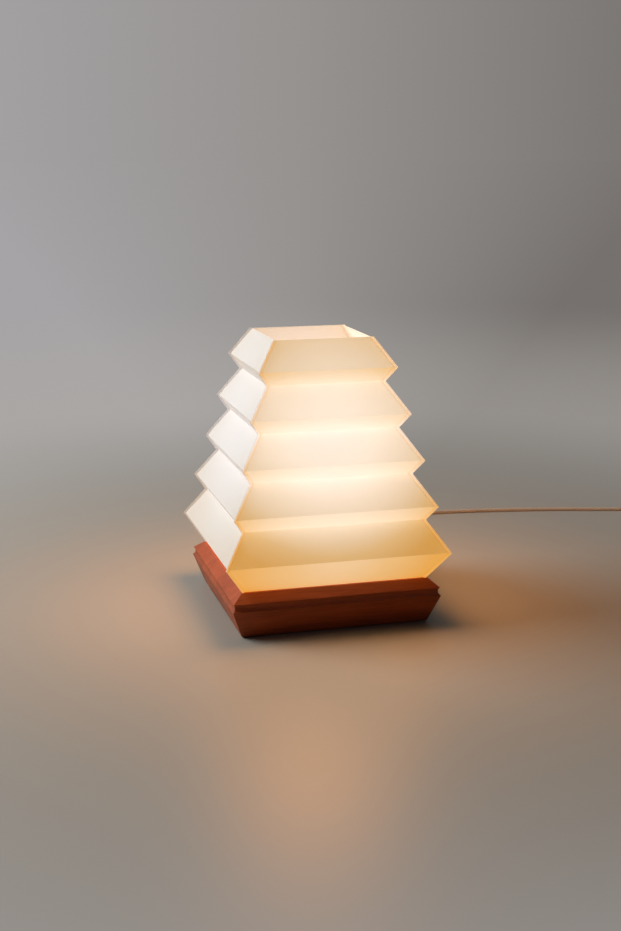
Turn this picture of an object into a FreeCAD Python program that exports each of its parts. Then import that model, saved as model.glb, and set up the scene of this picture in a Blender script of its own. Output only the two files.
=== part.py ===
import FreeCAD, Part
import math
import os
import re
import Sketcher
from FreeCAD import Placement, Rotation, Vector

# A table lamp: a four-sided shade of pleated paper on a square base of mitred wooden mouldings.
# Millimetres and degrees. Z is up, the table is z = 0, and the origin is the middle of the base.
# The front is -Y. The mains lead leaves the back, +Y, and runs out to the right, +X.

doc = FreeCAD.newDocument("pleated_paper_lamp")
sizes = doc.addObject("Spreadsheet::Sheet", "Sizes")

DRIVING_SIZES = {
    # base moulding from the table up: face that tapers in, cove, chamfer
    "foot_gauge": 1.2,
    "taper_rise": 30.5,
    "cove_rise": 8.7,
    "chamfer_rise": 8.6,
    "rail_top_half": 102.5,
    "foot_reach": 0.4,
    "low_lip_reach": 12.0,
    "high_lip_reach": 11.1,
    "cove_radius": 5.3,
    "rebate_width": 10.0,
    "low_rebate_width": 8.5,
    # boards, glue blocks, feet and wood screws
    "top_board_gauge": 6.0,
    "board_proud": 2.0,
    "bottom_board_gauge": 4.0,
    "board_clearance": 0.2,
    "block_leg": 34.0,
    "screw_inset": 11.0,
    "screw_radius": 2.0,
    "screw_length": 22.0,
    "screw_head_radius": 4.0,
    "screw_clearance": 0.1,
    "foot_radius": 8.0,
    "foot_inset": 1.7,
    # shade: every facet has the same slope
    "shade_ledge": 3.5,
    "shade_clearance": 0.4,
    "fold_angle": 55.5,
    "bottom_facet": 38.6,
    "long_facet": 40.0,
    "short_facet": 19.2,
    "top_facet": 37.0,
    "folded_tiers": 5,
    "paper_gauge": 0.5,
    "fin_width": 2.5,
    "fin_blunt": 0.8,
    # stem
    "nipple_radius": 5.0,
    "nipple_bore": 3.5,
    "nipple_clearance": 0.1,
    "nipple_in_holder": 8.0,
    "nipple_tail": 2.5,
    "stem_rise": 12.0,
    "stem_radius": 9.0,
    "washer_gauge": 1.5,
    "washer_radius": 10.0,
    "nut_gauge": 5.0,
    "nut_flats": 14.0,
    # lamp holder
    "holder_radius": 19.5,
    "holder_wall": 2.0,
    "holder_dome": 12.5,
    "holder_collar": 8.0,
    "holder_collar_rise": 6.0,
    "holder_shoulder": 18.0,
    "holder_split": 24.0,
    "holder_rise": 58.0,
    "holder_rim_radius": 18.5,
    "holder_fit": 0.2,
    "insert_low": 20.0,
    "insert_gauge": 12.0,
    "screw_shell_bore": 13.7,
    "screw_shell_gauge": 0.6,
    "screw_shell_rise": 22.0,
    "contact_radius": 4.0,
    "contact_rise": 3.0,
    # bulb
    "bulb_gap": 0.3,
    "tip_radius": 4.5,
    "tip_rise": 1.2,
    "insulator_radius": 9.0,
    "insulator_rise": 3.5,
    "cap_radius": 13.1,
    "cap_rise": 22.0,
    "neck_radius": 14.4,
    "neck_rise": 27.0,
    "globe_radius": 30.0,
    "globe_centre": 75.0,
    "glass_gauge": 1.0,
    # mains lead where the lamp holds it
    "lead_radius": 2.5,
    "lead_clearance": 0.1,
    "lead_level": 13.0,
    "lead_turn": 15.0,
    "lead_hole_radius": 4.5,
    "relief_clearance": 0.2,
    "relief_tip_radius": 3.4,
    "relief_length": 26.0,
    "relief_collar_radius": 7.0,
    "relief_collar_gauge": 2.5,
    "clamp_place": 62.0,
    "clamp_half_width": 12.0,
    "clamp_depth": 9.0,
    "clamp_bar_gauge": 5.5,
    "clamp_screw_place": 8.0,
    "clamp_screw_radius": 1.5,
    "clamp_screw_length": 12.0,
    "clamp_head_radius": 2.8,
    "clamp_head_gauge": 1.8,
    "core_radius": 1.0,
    "core_gap": 0.2,
    "core_spread": 8.0,
    # inline switch
    "switch_length": 62.0,
    "switch_width": 26.0,
    "switch_rise": 16.0,
    "switch_corner": 9.0,
    "switch_wall": 2.0,
    "switch_end_wall": 7.0,
    "switch_edge": 2.0,
    "lead_in_switch": 5.0,
    "rocker_pivot": 11.0,
    "rocker_swing_radius": 10.2,
    "rocker_crest": 5.9,
    "rocker_dip": 4.8,
    "rocker_skirt": 1.0,
    "rocker_hub": 2.6,
    "rocker_half_width": 5.4,
    "rocker_tilt": 7.0,
    "rocker_clearance": 0.3,
    "rocker_pin_radius": 1.3,
    "rocker_pin_clearance": 0.05,
    "lug_gauge": 2.4,
    "lug_half_length": 3.0,
    "switch_screw_along": 26.5,
    "switch_screw_across": 5.5,
    "switch_screw_radius": 1.25,
    "switch_screw_head": 2.2,
    "switch_screw_length": 12.0,
    # plug of two round pins
    "plug_length": 34.0,
    "plug_neck_length": 9.0,
    "plug_shoulder_length": 21.0,
    "plug_half_width": 13.0,
    "plug_cable_half": 6.0,
    "plug_gauge": 14.0,
    "plug_edge": 2.0,
    "pin_radius": 2.0,
    "pin_length": 19.0,
    "pin_spacing": 19.0,
    # put-away turns of the lead and their tie
    "coil_middle_radius": 27.5,
    "coil_turns_across": 4,
    "coil_layers": 2,
    "coil_edge": 2.5,
    "tie_gauge": 0.6,
    "tie_width": 7.0,
    "tie_clearance": 0.5,
}

for row, (alias, number) in enumerate(DRIVING_SIZES.items(), start=1):
    sizes.set(f"A{row}", alias)
    sizes.set(f"B{row}", str(number))
    sizes.setAlias(f"B{row}", alias)
doc.recompute()


def bound(text):
    """The text with each driving size written as the sheet's cell."""
    return re.sub(r"[a-z_]+", lambda word: f"Sizes.{word[0]}" if word[0] in DRIVING_SIZES else word[0], text)


def value(text):
    return float(sizes.evalExpression(bound(text)))


# Heights and half widths that several pieces share
BASE_TOP = "(foot_gauge + taper_rise + cove_rise + chamfer_rise)"
RAIL_FOOT_HALF = "(rail_top_half + foot_reach)"
RAIL_LOW_LIP = "(rail_top_half + low_lip_reach)"
RAIL_HIGH_LIP = "(rail_top_half + high_lip_reach)"
SHADE_FOOT = "(rail_top_half - shade_ledge)"
PAPER_ACROSS = "(paper_gauge / sin(fold_angle * 1deg))"
BOARD_HALF = f"({SHADE_FOOT} - {PAPER_ACROSS} - shade_clearance)"
REBATE_HALF = f"({BOARD_HALF} + board_clearance)"
REBATE_FLOOR = f"({BASE_TOP} - top_board_gauge + board_proud)"
BOARD_TOP = f"({BASE_TOP} + board_proud)"
INNER_HALF = f"({REBATE_HALF} - rebate_width)"
LOW_REBATE_HALF = f"({INNER_HALF} + low_rebate_width)"
LOW_BOARD_HALF = f"({LOW_REBATE_HALF} - board_clearance)"
LOW_BOARD_TOP = "(foot_gauge + bottom_board_gauge)"
SCREW_PLACE = f"({INNER_HALF} - screw_inset)"
FOOT_PLACE = f"({LOW_BOARD_HALF} - foot_inset - foot_radius)"
NIPPLE_HOLE = "(nipple_radius + nipple_clearance)"
NIPPLE_FOOT = f"({REBATE_FLOOR} - washer_gauge - nut_gauge - nipple_tail)"
HOLDER_FOOT = f"({BOARD_TOP} + stem_rise)"
NIPPLE_TOP = f"({HOLDER_FOOT} + nipple_in_holder)"
HOLDER_BORE = "(holder_radius - 2 * holder_wall - holder_fit)"
INSERT_TOP = "(insert_low + insert_gauge)"
BULB_FOOT = f"({HOLDER_FOOT} + {INSERT_TOP} + contact_rise + bulb_gap)"
CAP_FOOT = "(tip_rise + insulator_rise)"
CAP_TOP = f"({CAP_FOOT} + cap_rise)"
NECK_TOP = f"({CAP_TOP} + neck_rise)"
NECK_TOP_RADIUS = f"sqrt(globe_radius ^ 2 - (globe_centre - {NECK_TOP}) ^ 2)"
GLASS_BORE = "(globe_radius - glass_gauge)"
GLASS_BORE_FOOT = f"sqrt({GLASS_BORE} ^ 2 - (globe_centre - {NECK_TOP}) ^ 2)"
LEAD_BORE = "(lead_radius + lead_clearance)"
RELIEF_RADIUS = "(lead_hole_radius - relief_clearance)"
BACK_FACE_AT_LEAD = (
    f"({RAIL_FOOT_HALF} + (lead_level - foot_gauge) / taper_rise * (low_lip_reach - foot_reach))"
)
RELIEF_TIP = f"({BACK_FACE_AT_LEAD} + relief_length)"
SWITCH_SPLIT = "(switch_rise / 2)"
COIL_HALF_WIDTH = "(coil_turns_across * lead_radius)"
COIL_RISE = "(2 * coil_layers * lead_radius)"

pieces = {}


def keep(item, name):
    """Names a finished piece; the name is also its file's."""
    item.Label = name
    pieces[name] = item
    return item


def datum(body, role):
    return next(feature for feature in body.Origin.OriginFeatures if feature.Role == role)


def new_body(name, height="0", turn=0.0):
    body = keep(doc.addObject("PartDesign::Body", name), name)
    body.Placement = Placement(Vector(), Rotation(Vector(0, 0, 1), turn))
    if height != "0":
        body.setExpression("Placement.Base.z", bound(height))
    return body


def new_sketch(body, role="XY_Plane", lift=None):
    sketch = body.newObject("Sketcher::SketchObject", "Sketch")
    sketch.AttachmentSupport = [(datum(body, role), "")]
    sketch.MapMode = "FlatFace"
    if lift:
        sketch.setExpression("AttachmentOffset.Base.z", bound(lift))
    return sketch


def pin_point(sketch, edge, end, point, texts):
    """Holds a sketch point at its two distances from the sketch's origin."""
    for kind, axis, distance, text in zip(("DistanceX", "DistanceY"), (-2, -1), point, texts):
        if text == "0":
            sketch.addConstraint(Sketcher.Constraint("PointOnObject", edge, end, axis))
            continue
        index = sketch.addConstraint(Sketcher.Constraint(kind, -1, 1, edge, end, distance))
        sketch.setExpression(f"Constraints[{index}]", bound(text))


def arc_edge(start, end, radius, centre_side):
    """A round edge between two points, with its centre to the left (1) or right (-1) of the way."""
    chord = end - start
    square = Vector(-chord.y, chord.x, 0).normalize()
    rise = math.sqrt(max(radius**2 - (chord.Length / 2) ** 2, 0))
    centre = (start + end) / 2 + square * rise * centre_side
    angles = [math.atan2(point.y - centre.y, point.x - centre.x) for point in (start, end)]
    low, high = angles if centre_side > 0 else reversed(angles)
    return Part.ArcOfCircle(Part.Circle(centre, Vector(0, 0, 1), radius), low, high)


def draw_outline(sketch, texts, arcs=None):
    """A closed outline through points given as texts. arcs: point number -> (radius, centre side)."""
    arcs = arcs or {}
    points = [Vector(value(x), value(y), 0) for x, y in texts]
    first = sketch.GeometryCount
    for index, start in enumerate(points):
        end = points[(index + 1) % len(points)]
        if index in arcs:
            radius, centre_side = arcs[index]
            sketch.addGeometry(arc_edge(start, end, value(radius), centre_side))
        else:
            sketch.addGeometry(Part.LineSegment(start, end))
    ends = [1 if arcs.get(index, ("", 1))[1] > 0 else 2 for index in range(len(points))]
    for index in range(len(points)):
        following = (index + 1) % len(points)
        link = (first + index, 3 - ends[index], first + following, ends[following])
        sketch.addConstraint(Sketcher.Constraint("Coincident", *link))
    for index, point in enumerate(points):
        pin_point(sketch, first + index, ends[index], (point.x, point.y), texts[index])
    for index, (radius, _) in arcs.items():
        number = sketch.addConstraint(Sketcher.Constraint("Radius", first + index, value(radius)))
        sketch.setExpression(f"Constraints[{number}]", bound(radius))
    return sketch


def draw_circle(sketch, x, y, radius):
    edge = sketch.addGeometry(Part.Circle(Vector(value(x), value(y), 0), Vector(0, 0, 1), value(radius)))
    pin_point(sketch, edge, 3, (value(x), value(y)), (x, y))
    number = sketch.addConstraint(Sketcher.Constraint("Radius", edge, value(radius)))
    sketch.setExpression(f"Constraints[{number}]", bound(radius))
    return sketch


def draw_box(sketch, half_x, half_y):
    corners = [(-1, -1), (1, -1), (1, 1), (-1, 1)]
    return draw_outline(sketch, [(f"{x} * {half_x}", f"{y} * {half_y}") for x, y in corners])


def pad(body, sketch, length, symmetric=False):
    feature = body.newObject("PartDesign::Pad", "Pad")
    feature.Profile = sketch
    feature.setExpression("Length", bound(length))
    if symmetric:
        feature.SideType = "Symmetric"
    return feature


def pocket(body, sketch, length=None, upwards=False, symmetric=False):
    """Cuts a sketch's outline out of the body, right through if it has no length."""
    feature = body.newObject("PartDesign::Pocket", "Pocket")
    feature.Profile = sketch
    feature.Reversed = upwards
    if symmetric:
        feature.SideType = "Symmetric"
    if length:
        feature.setExpression("Length", bound(length))
    else:
        feature.Type = "ThroughAll"
    return feature


def sink_holes(body, places, radius, head_radius):
    """Screw holes right through the body, countersunk in its bottom face."""
    sketch = new_sketch(body)
    for x, y in places:
        draw_circle(sketch, x, y, radius)
    doc.recompute()
    holes = body.newObject("PartDesign::Hole", "Hole")
    holes.Profile = sketch
    doc.recompute()
    holes.DepthType = "ThroughAll"
    holes.Reversed = True
    holes.setExpression("Diameter", bound(f"2 * ({radius} + screw_clearance)"))
    holes.HoleCutType = "Countersink"
    holes.setExpression("HoleCutDiameter", bound(f"2 * ({head_radius} + screw_clearance)"))
    holes.HoleCutCountersinkAngle = 90


def countersunk(radius, head_radius, length):
    """A screw's outline, head down, as (radius, height)."""
    return [
        ("0", "0"),
        (head_radius, "0"),
        (radius, f"{head_radius} - {radius}"),
        (radius, f"{length} - {radius}"),
        ("0", length),
    ]


def ring_of(body, feature, copies):
    pattern = body.newObject("PartDesign::PolarPattern", "Ring")
    pattern.Originals = [feature]
    pattern.Axis = (datum(body, "Z_Axis"), [""])
    pattern.Angle = 360
    pattern.Occurrences = copies
    body.Tip = pattern


def turned(name, texts, height="0", arcs=None):
    """A piece turned about Z. Its outline's points are (radius, height above its foot)."""
    body = new_body(name, height)
    revolution = body.newObject("PartDesign::Revolution", "Revolution")
    revolution.Profile = draw_outline(new_sketch(body, "XZ_Plane"), texts, arcs)
    revolution.ReferenceAxis = (datum(body, "Z_Axis"), [""])
    revolution.Angle = 360
    return body


def tube_section(bore, radius, rise):
    return [(bore, "0"), (radius, "0"), (radius, rise), (bore, rise)]


def turned_beside(body, texts, place):
    """Turns an outline of (radius, height) points about an upright axis at a distance from Z."""
    sketch = draw_outline(new_sketch(body, "XZ_Plane"), [(f"{place} + {x}", y) for x, y in texts])
    low, high = [Vector(value(place), value(y), 0) for y in (texts[0][1], texts[-1][1])]
    axis = sketch.addGeometry(Part.LineSegment(low, high), True)
    pin_point(sketch, axis, 1, (low.x, low.y), (place, texts[0][1]))
    pin_point(sketch, axis, 2, (high.x, high.y), (place, texts[-1][1]))
    revolution = body.newObject("PartDesign::Revolution", "Revolution")
    revolution.Profile = sketch
    revolution.ReferenceAxis = (sketch, ["Axis0"])
    revolution.Angle = 360
    return revolution


def round_edges(body, feature, radius, level):
    """Rounds the edges of a feature that lie flat at one level of the body."""
    doc.recompute()
    names = [
        f"Edge{number}"
        for number, edge in enumerate(feature.Shape.Edges, start=1)
        if abs(edge.BoundBox.ZMin - value(level)) + abs(edge.BoundBox.ZMax - value(level)) < 0.001
    ]
    fillet = body.newObject("PartDesign::Fillet", "Fillet")
    fillet.Base = (feature, names)
    fillet.setExpression("Radius", bound(radius))
    return fillet


# --- base -------------------------------------------------------------------------------------


def make_rail(name, turn):
    """One mitred side of the base, drawn on the +X side and turned about Z."""
    body = new_body(name, turn=turn)
    lip = "(foot_gauge + taper_rise)"
    section = [
        (RAIL_FOOT_HALF, "foot_gauge"),
        (RAIL_LOW_LIP, lip),
        (RAIL_HIGH_LIP, f"{lip} + cove_rise"),
        ("rail_top_half", BASE_TOP),
        (REBATE_HALF, BASE_TOP),
        (REBATE_HALF, REBATE_FLOOR),
        (INNER_HALF, REBATE_FLOOR),
        (INNER_HALF, LOW_BOARD_TOP),
        (LOW_REBATE_HALF, LOW_BOARD_TOP),
        (LOW_REBATE_HALF, "foot_gauge"),
    ]
    moulding = draw_outline(new_sketch(body, "XZ_Plane"), section, {1: ("cove_radius", -1)})
    pad(body, moulding, f"4 * {RAIL_LOW_LIP}", symmetric=True)
    mitres = new_sketch(body)
    # each mitre's cutter starts inside the rail and reaches to twice the base's half width
    near, far = f"{INNER_HALF} / 2", f"2 * {RAIL_LOW_LIP}"
    draw_outline(mitres, [(near, near), (far, far), (near, far)])
    draw_outline(mitres, [(near, f"-{near}"), (near, f"-{far}"), (far, f"-{far}")])
    pocket(body, mitres, upwards=True)
    return body


make_rail("base_rail_right", 0)
back_rail = make_rail("base_rail_back", 90)
make_rail("base_rail_left", 180)
make_rail("base_rail_front", 270)
lead_hole = draw_circle(new_sketch(back_rail, "YZ_Plane"), "0", "lead_level", "lead_hole_radius")
pocket(back_rail, lead_hole, upwards=True)

top_board = new_body("base_top_board", REBATE_FLOOR)
pad(top_board, draw_box(new_sketch(top_board), BOARD_HALF, BOARD_HALF), "top_board_gauge")
pocket(top_board, draw_circle(new_sketch(top_board), "0", "0", NIPPLE_HOLE), upwards=True)

bottom_board = new_body("base_bottom_board", "foot_gauge")
pad(bottom_board, draw_box(new_sketch(bottom_board), LOW_BOARD_HALF, LOW_BOARD_HALF), "bottom_board_gauge")
screw_places = [(f"{x} * {SCREW_PLACE}", f"{y} * {SCREW_PLACE}") for x in (1, -1) for y in (1, -1)]
sink_holes(bottom_board, screw_places, "screw_radius", "screw_head_radius")

for number in range(4):
    block = new_body(f"corner_block_{number + 1}", LOW_BOARD_TOP, 90 * number)
    short_of_corner = f"{INNER_HALF} - block_leg"
    corner = [(INNER_HALF, INNER_HALF), (short_of_corner, INNER_HALF), (INNER_HALF, short_of_corner)]
    pad(block, draw_outline(new_sketch(block), corner), f"{REBATE_FLOOR} - {LOW_BOARD_TOP}")
    hole = draw_circle(new_sketch(block), SCREW_PLACE, SCREW_PLACE, "screw_radius + screw_clearance")
    pocket(block, hole, "screw_length", upwards=True)

for number in range(4):
    foot = new_body(f"foot_{number + 1}", turn=90 * number)
    pad(foot, draw_circle(new_sketch(foot), FOOT_PLACE, FOOT_PLACE, "foot_radius"), "foot_gauge")

screws = new_body("bottom_screws", "foot_gauge", 45)
screw_outline = countersunk("screw_radius", "screw_head_radius", "screw_length")
ring_of(screws, turned_beside(screws, screw_outline, f"{SCREW_PLACE} * sqrt(2)"), 4)

# --- stem and lamp holder -----------------------------------------------------------------------

nipple_section = tube_section("nipple_bore", "nipple_radius", f"{NIPPLE_TOP} - {NIPPLE_FOOT}")
turned("stem_nipple", nipple_section, NIPPLE_FOOT)
turned("stem_tube", tube_section(NIPPLE_HOLE, "stem_radius", "stem_rise"), BOARD_TOP)
washer_section = tube_section(NIPPLE_HOLE, "washer_radius", "washer_gauge")
turned("stem_washer", washer_section, f"{REBATE_FLOOR} - washer_gauge")

nut = new_body("stem_nut", f"{REBATE_FLOOR} - washer_gauge - nut_gauge")
hexagon = [
    (f"nut_flats / sqrt(3) * cos({60 * corner}deg)", f"nut_flats / sqrt(3) * sin({60 * corner}deg)")
    for corner in range(6)
]
hexagon[0] = ("nut_flats / sqrt(3)", "0")
hexagon[3] = ("-nut_flats / sqrt(3)", "0")
pad(nut, draw_outline(new_sketch(nut), hexagon), "nut_gauge")
pocket(nut, draw_circle(new_sketch(nut), "0", "0", NIPPLE_HOLE), upwards=True)

turned(
    "holder_cap",
    [
        (NIPPLE_HOLE, "0"),
        ("holder_collar", "0"),
        ("holder_collar", "holder_collar_rise"),
        ("holder_radius", "holder_shoulder"),
        ("holder_radius", "holder_split"),
        ("holder_radius - holder_wall", "holder_split"),
        ("holder_radius - holder_wall", "holder_shoulder"),
        ("holder_collar - holder_wall", "nipple_in_holder"),
        (NIPPLE_HOLE, "nipple_in_holder"),
    ],
    HOLDER_FOOT,
    {2: ("holder_dome", 1), 6: ("holder_dome - holder_wall", -1)},
)
turned(
    "holder_body",
    [
        (HOLDER_BORE, "holder_shoulder + holder_fit"),
        (f"{HOLDER_BORE} + holder_wall", "holder_shoulder + holder_fit"),
        (f"{HOLDER_BORE} + holder_wall", "holder_split"),
        ("holder_radius", "holder_split"),
        ("holder_rim_radius", "holder_rise"),
        (HOLDER_BORE, "holder_rise"),
    ],
    HOLDER_FOOT,
)
turned(
    "holder_insert",
    tube_section("core_radius", f"{HOLDER_BORE} - holder_fit", "insert_gauge"),
    f"{HOLDER_FOOT} + insert_low",
)
turned(
    "holder_screw_shell",
    tube_section("screw_shell_bore", "screw_shell_bore + screw_shell_gauge", "screw_shell_rise"),
    f"{HOLDER_FOOT} + {INSERT_TOP}",
)
turned(
    "holder_contact",
    [("0", "0"), ("contact_radius", "0"), ("contact_radius / 2", "contact_rise"), ("0", "contact_rise")],
    f"{HOLDER_FOOT} + {INSERT_TOP}",
)

# --- bulb -----------------------------------------------------------------------------------------

turned(
    "bulb_tip",
    [("0", "0"), ("tip_radius / 2", "0"), ("tip_radius", "tip_rise"), ("0", "tip_rise")],
    BULB_FOOT,
)
turned(
    "bulb_insulator",
    [
        ("0", "tip_rise"),
        ("tip_radius", "tip_rise"),
        ("insulator_radius", CAP_FOOT),
        ("0", CAP_FOOT),
    ],
    BULB_FOOT,
)
turned(
    "bulb_screw_cap",
    [("0", CAP_FOOT), ("cap_radius", CAP_FOOT), ("cap_radius", CAP_TOP), ("0", CAP_TOP)],
    BULB_FOOT,
)
turned(
    "bulb_neck",
    [("0", CAP_TOP), ("neck_radius", CAP_TOP), (NECK_TOP_RADIUS, NECK_TOP), ("0", NECK_TOP)],
    BULB_FOOT,
)
turned(
    "bulb_globe",
    [
        (NECK_TOP_RADIUS, NECK_TOP),
        ("0", "globe_centre + globe_radius"),
        ("0", f"globe_centre + {GLASS_BORE}"),
        (GLASS_BORE_FOOT, NECK_TOP),
    ],
    BULB_FOOT,
    {0: ("globe_radius", 1), 2: (GLASS_BORE, -1)},
)

# --- shade ----------------------------------------------------------------------------------------


def fold_profile():
    """The paper's outer face as (half width, height) at each fold, from the base up."""
    slope = math.radians(value("fold_angle"))
    outwards, upwards = math.cos(slope), math.sin(slope)
    width, height = value(SHADE_FOOT), value(BASE_TOP)
    facets = [(value("bottom_facet"), 1)]
    for _ in range(int(value("folded_tiers")) - 1):
        facets += [(value("long_facet"), -1), (value("short_facet"), 1)]
    facets.append((value("top_facet"), -1))
    folds = [(width, height)]
    for length, way in facets:
        width += way * length * outwards
        height += length * upwards
        folds.append((width, height))
    return folds


def prism(corners, along):
    return Part.Face(Part.makePolygon([*corners, corners[0]])).extrude(along)


def make_fin(folds, side):
    """Half of a corner's fin: the paper turned out along the diagonal, outside the mitre line."""
    slope = math.atan(math.tan(math.radians(value("fold_angle"))) / math.sqrt(2))
    reach = value("fin_width") / math.sin(slope)
    root = math.sqrt(2) * value(PAPER_ACROSS)
    blunt = value("fin_blunt")
    outer = []
    for number, (width, height) in enumerate(folds):
        far = width * math.sqrt(2) + reach
        if number % 2:
            drop = blunt * math.tan(slope)
            outer += [(far - blunt, height - drop), (far - blunt, height + drop)]
        else:
            outer.append((far, height))
    inner = [(width * math.sqrt(2) - root, height) for width, height in reversed(folds)]
    diagonal = Vector(1, side, 0) / math.sqrt(2)
    corners = [diagonal * far + Vector(0, 0, height) for far, height in outer + inner]
    return prism(corners, Vector(1, -side, 0) / math.sqrt(2) * value("paper_gauge"))


def make_pleated_side():
    """The +X side of the shade: a pleated sheet between the corner mitres, with half a fin at each."""
    folds = fold_profile()
    inside = [(width - value(PAPER_ACROSS), height) for width, height in reversed(folds)]
    reach = 2 * max(width for width, _ in folds)
    section = [Vector(width, -reach, height) for width, height in folds + inside]
    sheet = prism(section, Vector(0, 2 * reach, 0))
    wedge = prism([Vector(), Vector(reach, -reach, 0), Vector(reach, reach, 0)], Vector(0, 0, folds[-1][1]))
    side = sheet.common(wedge)
    return side.fuse([make_fin(folds, 1), make_fin(folds, -1)]).removeSplitter()


def add_shape(name, shape, placement=Placement()):
    item = keep(doc.addObject("Part::Feature", name), name)
    item.Shape = shape.Solids[0] if len(shape.Solids) == 1 else shape
    item.Placement = placement
    return item


pleated_side = make_pleated_side()
for name, turn in (("right", 0), ("back", 90), ("left", 180), ("front", 270)):
    add_shape(f"shade_{name}", pleated_side, Placement(Vector(), Rotation(Vector(0, 0, 1), turn)))

# --- mains lead inside the base -----------------------------------------------------------------------


def rounded_path(points):
    """Straight runs joined by tangent arcs, each as large as its two runs allow, and the radii."""
    edges, radii, start = [], [], points[0]
    for before, corner, after in zip(points, points[1:], points[2:]):
        inwards, outwards = (before - corner), (after - corner)
        turn = math.pi - inwards.getAngle(outwards)
        cut = 0.45 * min(inwards.Length, outwards.Length)
        radius = cut / math.tan(turn / 2)
        first = corner + inwards.normalize() * cut
        last = corner + outwards.normalize() * cut
        middle = corner + (inwards + outwards).normalize() * (radius / math.cos(turn / 2) - radius)
        edges += [Part.LineSegment(start, first).toShape(), Part.Arc(first, middle, last).toShape()]
        radii.append(radius)
        start = last
    edges.append(Part.LineSegment(start, points[-1]).toShape())
    return Part.Wire(edges), radii


def make_lead(name, points, radius):
    path, radii = rounded_path(points)
    section = Part.Wire(Part.Circle(points[0], points[1] - points[0], radius).toShape())
    solid = path.makePipeShell([section], True, True)
    expected = math.pi * radius**2 * path.Length
    print(f"{name}: {path.Length:.1f} mm, radii {[round(r) for r in radii]}, volume / expected "
          f"{solid.Volume / expected:.5f}")
    return add_shape(name, solid)


def straight_lead(start, end, radius):
    return Part.makeCylinder(radius, (end - start).Length, start, end - start)


level, turn_radius = value("lead_level"), value("lead_turn")
lead_radius = value("lead_radius")
lead_top = value(NIPPLE_TOP) + value("core_radius")
flat_part = straight_lead(Vector(0, value(RELIEF_TIP), level), Vector(0, turn_radius, level), lead_radius)
upright_part = straight_lead(Vector(0, 0, level + turn_radius), Vector(0, 0, lead_top), lead_radius)
bend = Part.makeTorus(turn_radius, lead_radius, Vector(0, turn_radius, level + turn_radius), Vector(1, 0, 0))
quarter = Part.makeBox(2 * lead_radius, turn_radius + lead_radius, turn_radius + lead_radius)
quarter.translate(Vector(-lead_radius, -lead_radius, level - lead_radius))
inner_lead = flat_part.fuse([bend.common(quarter), upright_part]).removeSplitter()
add_shape("lead_inner", inner_lead)

core_foot = value("core_radius") + value("core_gap") / 2
core_climb = value(f"{HOLDER_FOOT} + insert_low") - lead_top
for name, side in (("live", 1), ("neutral", -1)):
    core_route = [
        Vector(0, side * core_foot, lead_top),
        Vector(0, side * core_foot, lead_top + core_climb * 0.3),
        Vector(0, side * value("core_spread"), lead_top + core_climb * 0.7),
        Vector(0, side * value("core_spread"), lead_top + core_climb),
    ]
    make_lead(f"core_{name}", core_route, value("core_radius"))

relief = new_body("strain_relief")
relief_collar = f"{INNER_HALF} - relief_collar_gauge"
relief_outline = [
    (LEAD_BORE, relief_collar),
    ("relief_collar_radius", relief_collar),
    ("relief_collar_radius", INNER_HALF),
    (RELIEF_RADIUS, INNER_HALF),
    (RELIEF_RADIUS, BACK_FACE_AT_LEAD),
    ("relief_tip_radius", RELIEF_TIP),
    (LEAD_BORE, RELIEF_TIP),
]
relief_turning = relief.newObject("PartDesign::Revolution", "Revolution")
relief_turning.Profile = draw_outline(new_sketch(relief), relief_outline)
relief_turning.ReferenceAxis = (datum(relief, "Y_Axis"), [""])
relief_turning.Angle = 360
relief.setExpression("Placement.Base.z", bound("lead_level"))

CLAMP_BLOCK_RISE = f"(lead_level - {LOW_BOARD_TOP})"
for name, foot, rise, groove_level in (
    ("clamp_block", LOW_BOARD_TOP, CLAMP_BLOCK_RISE, CLAMP_BLOCK_RISE),
    ("clamp_bar", "lead_level", "clamp_bar_gauge", "0"),
):
    clamp = new_body(name, foot)
    clamp.setExpression("Placement.Base.y", bound("clamp_place"))
    pad(clamp, draw_box(new_sketch(clamp), "clamp_half_width", "clamp_depth / 2"), rise)
    groove = draw_circle(new_sketch(clamp, "XZ_Plane"), "0", groove_level, LEAD_BORE)
    pocket(clamp, groove, symmetric=True)
    holes = new_sketch(clamp)
    for hole_side in (1, -1):
        draw_circle(holes, f"{hole_side} * clamp_screw_place", "0", "clamp_screw_radius + screw_clearance")
    pocket(clamp, holes, upwards=True)

clamp_screws = new_body("clamp_screws", "lead_level + clamp_bar_gauge")
clamp_screws.setExpression("Placement.Base.y", bound("clamp_place"))
pan_head = [
    ("0", "-clamp_screw_length"),
    ("clamp_screw_radius", "clamp_screw_radius - clamp_screw_length"),
    ("clamp_screw_radius", "0"),
    ("clamp_head_radius", "0"),
    ("clamp_head_radius", "clamp_head_gauge / 2"),
    ("clamp_head_radius / 2", "clamp_head_gauge"),
    ("0", "clamp_head_gauge"),
]
ring_of(clamp_screws, turned_beside(clamp_screws, pan_head, "clamp_screw_place"), 2)

# --- mains lead on the table ------------------------------------------------------------------------------

# Points chosen by hand, counted from the strain relief's tip; their heights are from the table.
relief_tip = Vector(0, value(RELIEF_TIP), 0)
SWITCH_PLACE = relief_tip + Vector(83.0, 141.8, 0)
SWITCH_HEADING = 30.3
COIL_PLACE = relief_tip + Vector(575.0, 90.1, 0)
PLUG_PLACE = relief_tip + Vector(609.4, 49.7, 0)
PLUG_HEADING = -84.0
STRAIGHT_AT_SWITCH = 16.0
STRAIGHT_AT_PLUG = 14.0


def heading(angle):
    return Vector(math.cos(math.radians(angle)), math.sin(math.radians(angle)), 0)


switch_way = heading(SWITCH_HEADING)
switch_level = Vector(0, 0, value(SWITCH_SPLIT))
in_switch = switch_way * (value("switch_length") / 2 - value("lead_in_switch"))
by_switch = switch_way * (value("switch_length") / 2 + STRAIGHT_AT_SWITCH)
plug_level = Vector(0, 0, value("plug_gauge") / 2)

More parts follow.
